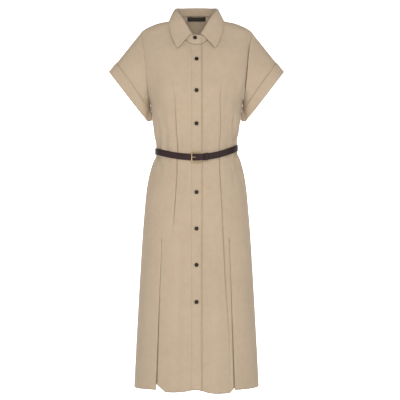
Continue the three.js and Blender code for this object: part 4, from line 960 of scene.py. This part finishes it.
def grain_group():
    """Smooth leather: fine pebbles and a few darker streaks."""
    tree, scale, out = group("leather_grain", "Scale", GRAIN_SCALE)
    body = node(tree, "ShaderNodeTexCoord").outputs["Object"]
    cells = node(tree, "ShaderNodeTexVoronoi", feature="DISTANCE_TO_EDGE")
    tree.links.new(scale, cells.inputs["Scale"])
    tree.links.new(body, cells.inputs["Vector"])
    pebble = maths(tree, "MINIMUM", maths(tree, "MULTIPLY", cells.outputs["Distance"], 4), 1)
    wrinkle = noise(tree, body, 120, 5, 0.6)
    tree.links.new(maths(tree, "ADD", pebble, wrinkle), out.inputs["Height"])
    tree.links.new(noise(tree, body, 30, 4, 0.6), out.inputs["Shade"])
    return tree


def material(name, colour, dark, roughness, group_tree, bump, distance, settings):
    """A Principled material between two tones by a group's shade, with bump from its height."""
    made = bpy.data.materials.new(MATERIAL_PREFIX + name)
    made.use_nodes = True
    tree = made.node_tree
    shader = preset(tree.nodes["Principled BSDF"], settings)
    blend = node(tree, "ShaderNodeMix", {"A": (*dark, 1), "B": (*colour, 1)}, data_type="RGBA")
    smoothest, roughest = (roughness + change for change in ROUGHNESS_SPREAD)
    rough = node(tree, "ShaderNodeMapRange", {"To Min": smoothest, "To Max": roughest})
    contrast = node(tree, "ShaderNodeMapRange", {"From Min": 0.3, "From Max": 0.7})
    relief = node(tree, "ShaderNodeBump", {"Strength": bump, "Distance": distance})
    if group_tree:
        detail = node(tree, "ShaderNodeGroup", node_tree=group_tree)
        shade, height = detail.outputs["Shade"], detail.outputs["Height"]
    else:
        shade = height = noise(tree, node(tree, "ShaderNodeTexCoord").outputs["Object"], 400)
    for source, target in (
        (shade, contrast.inputs["Value"]),
        (contrast.outputs[0], blend.inputs["Factor"]),
        (shade, rough.inputs["Value"]),
        (blend.outputs["Result"], shader.inputs["Base Color"]),
        (rough.outputs[0], shader.inputs["Roughness"]),
        (height, relief.inputs["Height"]),
        (relief.outputs["Normal"], shader.inputs["Normal"]),
    ):
        tree.links.new(source, target)
    return made


# Properties


def colour(name, description, default):
    return FloatVectorProperty(
        name=name, description=description, subtype="COLOR", size=3, min=0, max=1, default=default
    )


class DressSizes(bpy.types.PropertyGroup):
    button_radius: FloatProperty(
        name="Button radius", description="Radius of each button in mm", default=6.6, min=3, max=12
    )
    stitch_pitch: FloatProperty(
        name="Stitch pitch", description="Length of one topstitch with its space in mm",
        default=3.4, min=2, max=6,
    )
    stitch_radius: FloatProperty(
        name="Thread radius", description="Half the thickness of the sewing thread in mm",
        default=0.24, min=0.1, max=0.6,
    )
    stitch_inset: FloatProperty(
        name="Stitch inset", description="Distance of the band's topstitch from its edge in mm",
        default=3.5, min=1, max=8,
    )
    hem_depth: FloatProperty(
        name="Hem depth", description="Height of the hem's stitch above the edge in mm",
        default=13, min=5, max=40,
    )
    button_sides: IntProperty(
        name="Button sides", description="How many flats go round a button", default=40, min=12, max=96
    )


class DressColours(bpy.types.PropertyGroup):
    cloth: colour("Cloth", "Light tone of the cloth", (0.5, 0.392, 0.279))
    cloth_dark: colour("Cloth, dark", "Dark tone of the cloth", (0.45, 0.348, 0.245))
    thread: colour("Thread", "Sewing thread", (0.42, 0.325, 0.232))
    button: colour("Button", "Buttons", (0.016, 0.0075, 0.0035))
    leather: colour("Leather", "Light tone of the belt", (0.029, 0.012, 0.0115))
    leather_dark: colour("Leather, dark", "Dark tone of the belt", (0.019, 0.0075, 0.0072))
    brass: colour("Brass", "Buckle", (0.35, 0.252, 0.135))
    label: colour("Label", "Woven label", (0.02, 0.0145, 0.012))


class StageLight(bpy.types.PropertyGroup):
    key_power: FloatProperty(
        name="Key power", description="Power of the front lights", default=45, min=0, max=500, unit="POWER"
    )
    fill_power: FloatProperty(
        name="Fill power", description="Power of each side light", default=24, min=0, max=500, unit="POWER"
    )
    world_strength: FloatProperty(
        name="World strength", description="Brightness of the surroundings", default=0.17, min=0, max=3
    )
    distance: FloatProperty(
        name="Camera distance", description="Distance before the shoulder line",
        default=3.5, min=1, max=10, unit="LENGTH",
    )
    floor_height: FloatProperty(
        name="Floor height", description="Height of the floor below the neck",
        default=-1.62, min=-3, max=-1.3, unit="LENGTH",
    )


def sizes():
    return bpy.context.scene.dress_sizes


def named_material(name):
    """One of the dress's materials, made when it is first asked for."""
    found = bpy.data.materials.get(MATERIAL_PREFIX + name)
    if found:
        return found
    tones = bpy.context.scene.dress_colours
    dark, roughness, group_name, bump, distance, settings = MATERIALS[name]
    if isinstance(dark, str):
        dark = getattr(tones, dark)
    makers = {"woven_cloth": cloth_group, "leather_grain": grain_group}
    tree = group_name and (bpy.data.node_groups.get(group_name) or makers[group_name]())
    return material(name, getattr(tones, name), dark, roughness, tree, bump, distance, settings)


def cloth_piece(name, points, thickness, nodes, loop=False):
    obj = shell(name, points, thickness, loop)
    declare(obj, nodes, named_material("cloth"))
    return obj


def sew(name, lines):
    """Topstitching in the sewing thread."""
    thread = stitches(name, lines, sizes().stitch_radius, sizes().stitch_pitch)
    declare(thread, [], named_material("thread"))


def hem_line(points, depth):
    """The hem's stitch line on the outside of a panel, with its normals."""
    row = int(np.argmin(np.abs(points[:, 0, 2] - (points[-1, 0, 2] + depth))))
    normal = outward(points)
    return points[row] + normal[row] * (CLOTH / 2), normal[row]


def band_lines(band, thick, inset):
    """The stitch lines along both edges of the button band."""
    normal = outward(band)
    face = band + normal * (thick / 2)[..., None]
    across = band[len(band) // 2, :, 0]
    columns = [int(np.argmin(np.abs(across - sign * (PLACKET_HALF_WIDTH - inset)))) for sign in (-1, 1)]
    return [(face[:, column], normal[:, column]) for column in columns]


class DRESS_OT_body(bpy.types.Operator):
    """Builds both fronts, the back and the button band"""

    bl_idname = "dress.body"
    bl_label = "Body"

    def execute(self, context):
        values = sizes()
        lines = []
        for name, side in SIDES:
            points = front_grid(side)
            cloth_piece("dress_front_" + name, points, CLOTH, ["front_" + name])
            lines.append(hem_line(points, values.hem_depth))
            if side == WEARERS_RIGHT:
                band, thick = placket_grid(points)
                placket = cloth_piece("dress_placket", band, BAND_CLOTH, ["placket"])
                taper(placket, thick / BAND_CLOTH)
                lines += band_lines(band, thick, values.stitch_inset)
        back = back_grid()
        cloth_piece("dress_back", back, CLOTH, ["back"])
        lines.append(hem_line(back, values.hem_depth))
        sew("dress_body_stitching", lines)
        return {"FINISHED"}


class DRESS_OT_sleeves(bpy.types.Operator):
    """Builds both sleeves with their turned-up cuffs"""

    bl_idname = "dress.sleeves"
    bl_label = "Sleeves"

    def execute(self, context):
        lines = []
        for name, side in SIDES:
            sleeve, cuff = sleeve_grids(side)
            nodes = ["sleeve_" + name]
            cloth_piece("dress_sleeve_" + name, sleeve, CLOTH, nodes, loop=True)
            nodes = ["cuff_" + name]
            cloth_piece("dress_cuff_" + name, cuff, DOUBLED_CLOTH, nodes, loop=True)
            normal = outward(cuff, loop=True)
            face = cuff + normal * (DOUBLED_CLOTH / 2)
            around = np.arange(cuff.shape[1] + 1) % cuff.shape[1]
            lines.append((face[CUFF_STITCH_ROW, around], normal[CUFF_STITCH_ROW, around]))
        sew("dress_cuff_stitching", lines)
        return {"FINISHED"}


class DRESS_OT_collar(bpy.types.Operator):
    """Builds the collar, its stand and the label"""

    bl_idname = "dress.collar"
    bl_label = "Collar"

    def execute(self, context):
        leaf = leaf_grid()
        cloth_piece(
            "dress_collar_leaf", leaf, DOUBLED_CLOTH, ["collar_leaf"]
        )
        cloth_piece(
            "dress_collar_stand", stand_grid(), CLOTH, ["collar_stand"]
        )
        normal = outward(leaf)
        face = leaf + normal * (DOUBLED_CLOTH / 2)
        rows, columns = leaf.shape[:2]
        lengths = np.linalg.norm(leaf[-1] - leaf[0], axis=-1)
        back_row = rows - 1 - int(round(LEAF_STITCH_INSET / lengths.mean() * (rows - 1)))
        step = np.linalg.norm(np.diff(leaf[-1], axis=0), axis=-1)
        first = int(np.searchsorted(np.cumsum(step), LEAF_STITCH_INSET)) + 1
        lines = [(face[back_row, first : columns - first], normal[back_row, first : columns - first])]
        for column in (first, columns - 1 - first):
            lines.append((face[1 : back_row + 1, column], normal[1 : back_row + 1, column]))
        sew("dress_collar_stitching", lines)
        label = shell("dress_neck_label", label_grid(), LABEL_CLOTH)
        declare(label, ["neck_label"], named_material("label"))
        return {"FINISHED"}


def button_vertices(radius, sides):
    """A round button with a raised rim, a dished middle and its back at depth 0, as rings along its axis."""
    rings = [
        (0.02, 0),
        (radius - 1.2, 0),
        (radius - 0.3, 0.5),
        (radius, 1.2),
        (radius - 0.1, 1.9),
        (radius - 0.7, 2.5),
        (radius - 1.4, BUTTON_THICKNESS),
        (radius - 2.1, 2.4),
        (radius - 2.6, 2.0),
        (0.02, 1.8),
    ]
    angle = 2 * np.pi * np.arange(sides) / sides
    circles = [(r * np.cos(angle), np.full(sides, -y), r * np.sin(angle)) for r, y in rings]
    return np.array([np.stack(circle, axis=1) for circle in circles])


def tilted(points, tilt, place):
    """Turns points about X by a tilt and moves them to a place."""
    c, s = math.cos(tilt), math.sin(tilt)
    x, y, z = points[..., 0], points[..., 1], points[..., 2]
    return np.stack([x, y * c - z * s, y * s + z * c], axis=-1) + np.asarray(place, float)


def row_for(height):
    rows = np.linspace(HEM_ROW - 40, 60, 4000)
    return float(np.interp(height, row_height(rows, 0.0, FRONT), rows))


def button_places():
    """Back point and tilt of each button: those on the band, then the one on the stand."""
    lift = (CLOTH + BAND_CLOTH) / 2 + GAP + BAND_CLOTH / 2 + GAP
    places = []
    for i, height in enumerate(BUTTON_HEIGHTS):
        heights = (height + BUTTON_REACH, height, height - BUTTON_REACH)
        above, at, below = (-float(depth_at(row_for(z), BUTTON_ACROSS, FRONT)) for z in heights)
        tilt = -math.atan((above - below) / (2 * BUTTON_REACH))
        places.append(("button_%d" % (i + 1), (BUTTON_ACROSS, at - lift, height), tilt))
    foot = neck_point(90, WEARERS_RIGHT, FRONT)
    slope = (STAND_FRONT_TOP[0] + STAND_TOP_INSET - foot[1]) / (STAND_FRONT_TOP[1] - foot[2])
    face = foot[1] + slope * (COLLAR_BUTTON[1] - foot[2]) - CLOTH / 2 - 1.2 * GAP
    places.append(("button_collar", (COLLAR_BUTTON[0], face, COLLAR_BUTTON[1]), -math.atan(slope)))
    return places


def thread_line(across, depth, half_length, count, tilt, place):
    """A stitch line straight up a button or a buttonhole."""
    ends = [np.array((across, depth, up * half_length)) for up in (-1, 1)]
    return tilted(np.linspace(*ends, count), tilt, place), np.tile([0, -1, 0], (count, 1))


class DRESS_OT_buttons(bpy.types.Operator):
    """Builds the buttons with their threads and buttonholes"""

    bl_idname = "dress.buttons"
    bl_label = "Buttons"

    def execute(self, context):
        values = sizes()
        holes = []
        sewn_across = (-THREAD_APART, THREAD_APART)
        for name, place, tilt in button_places():
            rings = tilted(button_vertices(values.button_radius, values.button_sides), tilt, place)
            declare(tube("dress_" + name, rings), [name], named_material("button"))
            threads = [thread_line(x, THREAD_DEPTH, THREAD_HALF_LENGTH, 5, tilt, place) for x in sewn_across]
            sewn = stitches("dress_%s_thread" % name, threads, *BUTTON_THREAD)
            declare(sewn, [], named_material("leather"))
            if name != "button_collar":
                holes += [thread_line(x, HOLE_DEPTH, HOLE_HALF_LENGTH, 12, tilt, place) for x in sewn_across]
        edging = stitches("dress_buttonholes", holes, *BUTTONHOLE_THREAD)
        declare(edging, [], named_material("thread"))
        return {"FINISHED"}


def buckle_back():
    """Depth and height of the middle of the buckle's back."""
    return belt_point(90, LAYER_LIFT + PLACKET_LIFT + STRAP / 2 + GAP, 0)[1:]


def buckle_mesh():
    """The buckle's frame as a closed ring of rounded sections."""
    back, height = buckle_back()
    half_bar = BUCKLE_BAR / 2
    half_x, half_z = BUCKLE_HALF_WIDTH - half_bar, BUCKLE_HALF_HEIGHT - half_bar
    rings = []
    for x, z, out_x, out_z in rounded_corners(half_x, half_z, BUCKLE_CORNER - half_bar, 6):
        section = []
        for along, deep in rounded_profile(half_bar, BUCKLE_THICKNESS / 2, BUCKLE_EDGE):
            depth = back - BUCKLE_THICKNESS / 2 + deep
            section.append((BUCKLE_MIDDLE + x + out_x * along, depth, height + z + out_z * along))
        rings.append(section)
    rings = np.array(rings)
    rows, columns = rings.shape[:2]
    faces = grid_faces(rows, columns, loop=True)
    last = (rows - 1) * columns
    for c in range(columns):
        d = (c + 1) % columns
        faces.append((last + c, last + d, d, c))
    return rings.reshape(-1, 3), faces


def prong_sections():
    """Oval sections of the prong from one upright bar towards the other."""
    back, height = buckle_back()
    middle = back - BUCKLE_THICKNESS - GAP - PRONG_HALF_DEPTH
    start = BUCKLE_MIDDLE - BUCKLE_HALF_WIDTH
    angles = np.linspace(0, 2 * math.pi, 13)[:-1]
    sections = []
    for t in np.linspace(0, 1, 16):
        swell = PRONG_HALF_HEIGHT * (0.72 + 0.28 * t) * math.sqrt(min(1, 0.25 + 6 * t))
        x = start + PRONG_LENGTH * t
        oval = [(PRONG_HALF_DEPTH * math.sin(a), swell * math.cos(a)) for a in angles]
        sections.append([(x, middle + deep, height + up) for deep, up in oval])
    return np.array(sections)


class DRESS_OT_belt(bpy.types.Operator):
    """Builds the belt with its keeper and buckle"""

    bl_idname = "dress.belt"
    bl_label = "Belt"

    def execute(self, context):
        leather, brass = named_material("leather"), named_material("brass")
        strap = tube("dress_belt_strap", strap_sections())
        declare(strap, ["belt_strap"], leather)
        declare(new_mesh("dress_belt_keeper", *keeper_mesh()), ["belt_keeper"], leather)
        declare(new_mesh("dress_buckle_frame", *buckle_mesh()), ["buckle_frame"], brass)
        declare(tube("dress_buckle_prong", prong_sections()), ["buckle_prong"], brass)
        return {"FINISHED"}


def keeper_mesh():
    """The loop round both layers of the strap, as a ring of rounded sections."""
    inner = LAYER_LIFT - STRAP / 2 - 1.5 * GAP - KEEPER_WALL / 2
    outer = LAYER_LIFT + 1.5 * STRAP + 2.5 * GAP + KEEPER_WALL / 2
    half = STRAP_HALF_WIDTH + GAP + KEEPER_WALL / 2
    middle, reach = (inner + outer) / 2, (outer - inner) / 2
    path = rounded_profile(half, reach, KEEPER_CORNER)
    edges = np.linspace(*KEEPER_PLACE, 7)
    vertices = []
    for sign in (1, -1):
        for i, across in enumerate(edges):
            degrees = belt_angle(across)
            pinch = KEEPER_PINCH if i in (0, len(edges) - 1) else 0
            grow = sign * (KEEPER_WALL / 2 - pinch)
            for up, out in path:
                lift = middle + out + grow * out / reach * (abs(out) > 0.5 * reach)
                rise = up + grow * up / half * (abs(up) > half - 1.5)
                vertices.append(belt_point(degrees, lift + band_lift_at(degrees), rise))
    columns, rows = len(path), len(edges)
    half_count = rows * columns
    faces = grid_faces(rows, columns, loop=True)
    faces += [tuple(reversed(f)) for f in grid_faces(rows, columns, loop=True, start=half_count)]
    for c in range(columns):
        d = (c + 1) % columns
        faces.append((half_count + c, half_count + d, d, c))
        last = (rows - 1) * columns
        faces.append((last + c, last + d, half_count + last + d, half_count + last + c))
    return vertices, faces


def floor_material(name, inputs):
    made = bpy.data.materials.new(name)
    made.use_nodes = True
    preset(made.node_tree.nodes["Principled BSDF"], {"Roughness": 0.9, **inputs})
    return made


def floor_grid(height):
    """The floor and the backdrop that it bends up into, in mm."""
    profile = [(end, 0) for end in FLOOR_ENDS]
    for a in np.linspace(0, math.pi / 2, 12):
        away, up = BACKDROP_RADIUS * math.sin(a), BACKDROP_RADIUS - BACKDROP_RADIUS * math.cos(a)
        profile.append((BACKDROP_FROM + away, up))
    profile.append((BACKDROP_FROM + BACKDROP_RADIUS, BACKDROP_TOP))
    edges = (-FLOOR_HALF_WIDTH, FLOOR_HALF_WIDTH)
    return np.array([[(x, y, height + z) for x in edges] for y, z in profile]) / MM


class DRESS_OT_stage(bpy.types.Operator):
    """Sets the pale floor and backdrop, the soft light and the camera"""

    bl_idname = "dress.stage"
    bl_label = "Stage"

    def execute(self, context):
        scene = context.scene
        light = scene.stage_light
        rows = floor_grid(light.floor_height)
        floor = new_mesh("floor", rows.reshape(-1, 3), grid_faces(len(rows), 2))
        glow = {"Emission Color": (1, 1, 1, 1), "Emission Strength": 0.9}
        pale = floor_material("pale_floor", {"Base Color": (0.95, 0.95, 0.95, 1), **glow})
        floor.data.materials.append(pale)
        floor.data.materials.append(floor_material("plain_floor", {"Base Color": (0.75, 0.75, 0.75, 1)}))
        floor.data.polygons[0].material_index = 1
        world = bpy.data.worlds.new("studio")
        world.use_nodes = True
        sky = {"Color": (1, 1, 1, 1), "Strength": light.world_strength}
        preset(world.node_tree.nodes["Background"], sky)
        scene.world = world
        lamps = [(*lamp, light.key_power) for lamp in KEY_LIGHTS]
        lamps += [(*lamp, light.fill_power) for lamp in FILL_LIGHTS]
        for name, place, size, share, power in lamps:
            lamp = bpy.data.lights.new(name, "AREA")
            lamp.size = size
            lamp.energy = share * power
            obj = bpy.data.objects.new(name, lamp)
            obj.location = place
            towards = np.subtract(LIT_POINT, place)
            yaw = math.atan2(towards[0], towards[1])
            pitch = math.atan2(towards[2], math.hypot(towards[0], towards[1]))
            obj.rotation_euler = (math.pi / 2 + pitch, 0, -yaw)
            scene.collection.objects.link(obj)
        lens = bpy.data.cameras.new("camera")
        lens.lens = CAMERA_LENS
        camera = bpy.data.objects.new("camera", lens)
        camera.location = (CAMERA_ACROSS, -light.distance, CAMERA_HEIGHT)
        camera.rotation_euler = (math.pi / 2, 0, 0)
        scene.collection.objects.link(camera)
        scene.camera = camera
        scene.view_settings.view_transform = "Standard"
        return {"FINISHED"}


class DRESS_PT_panel(bpy.types.Panel):
    """Sizes, colours and light of the dress"""

    bl_label = "Shirt Dress"
    bl_idname = "DRESS_PT_panel"
    bl_space_type = "VIEW_3D"
    bl_region_type = "UI"
    bl_category = "Dress"

    def draw(self, context):
        layout = self.layout
        for owner in (context.scene.dress_sizes, context.scene.dress_colours, context.scene.stage_light):
            for key in owner.bl_rna.properties.keys():
                if key not in ("rna_type", "name"):
                    layout.prop(owner, key)
        for name in ("body", "sleeves", "collar", "buttons", "belt", "stage"):
            layout.operator("dress." + name)


CLASSES = (
    DressSizes, DressColours, StageLight, DRESS_OT_body, DRESS_OT_sleeves, DRESS_OT_collar, DRESS_OT_buttons,
    DRESS_OT_belt, DRESS_OT_stage, DRESS_PT_panel,
)


def register():
    for item in CLASSES:
        bpy.utils.register_class(item)
    bpy.types.Scene.dress_sizes = PointerProperty(type=DressSizes)
    bpy.types.Scene.dress_colours = PointerProperty(type=DressColours)
    bpy.types.Scene.stage_light = PointerProperty(type=StageLight)


def unregister():
    del bpy.types.Scene.stage_light
    del bpy.types.Scene.dress_colours
    del bpy.types.Scene.dress_sizes
    for item in reversed(CLASSES):
        bpy.utils.unregister_class(item)


def main():
    register()
    bpy.ops.dress.body()
    bpy.ops.dress.sleeves()
    bpy.ops.dress.collar()
    bpy.ops.dress.buttons()
    bpy.ops.dress.belt()
    bpy.ops.dress.stage()


if __name__ == "__main__":
    main()
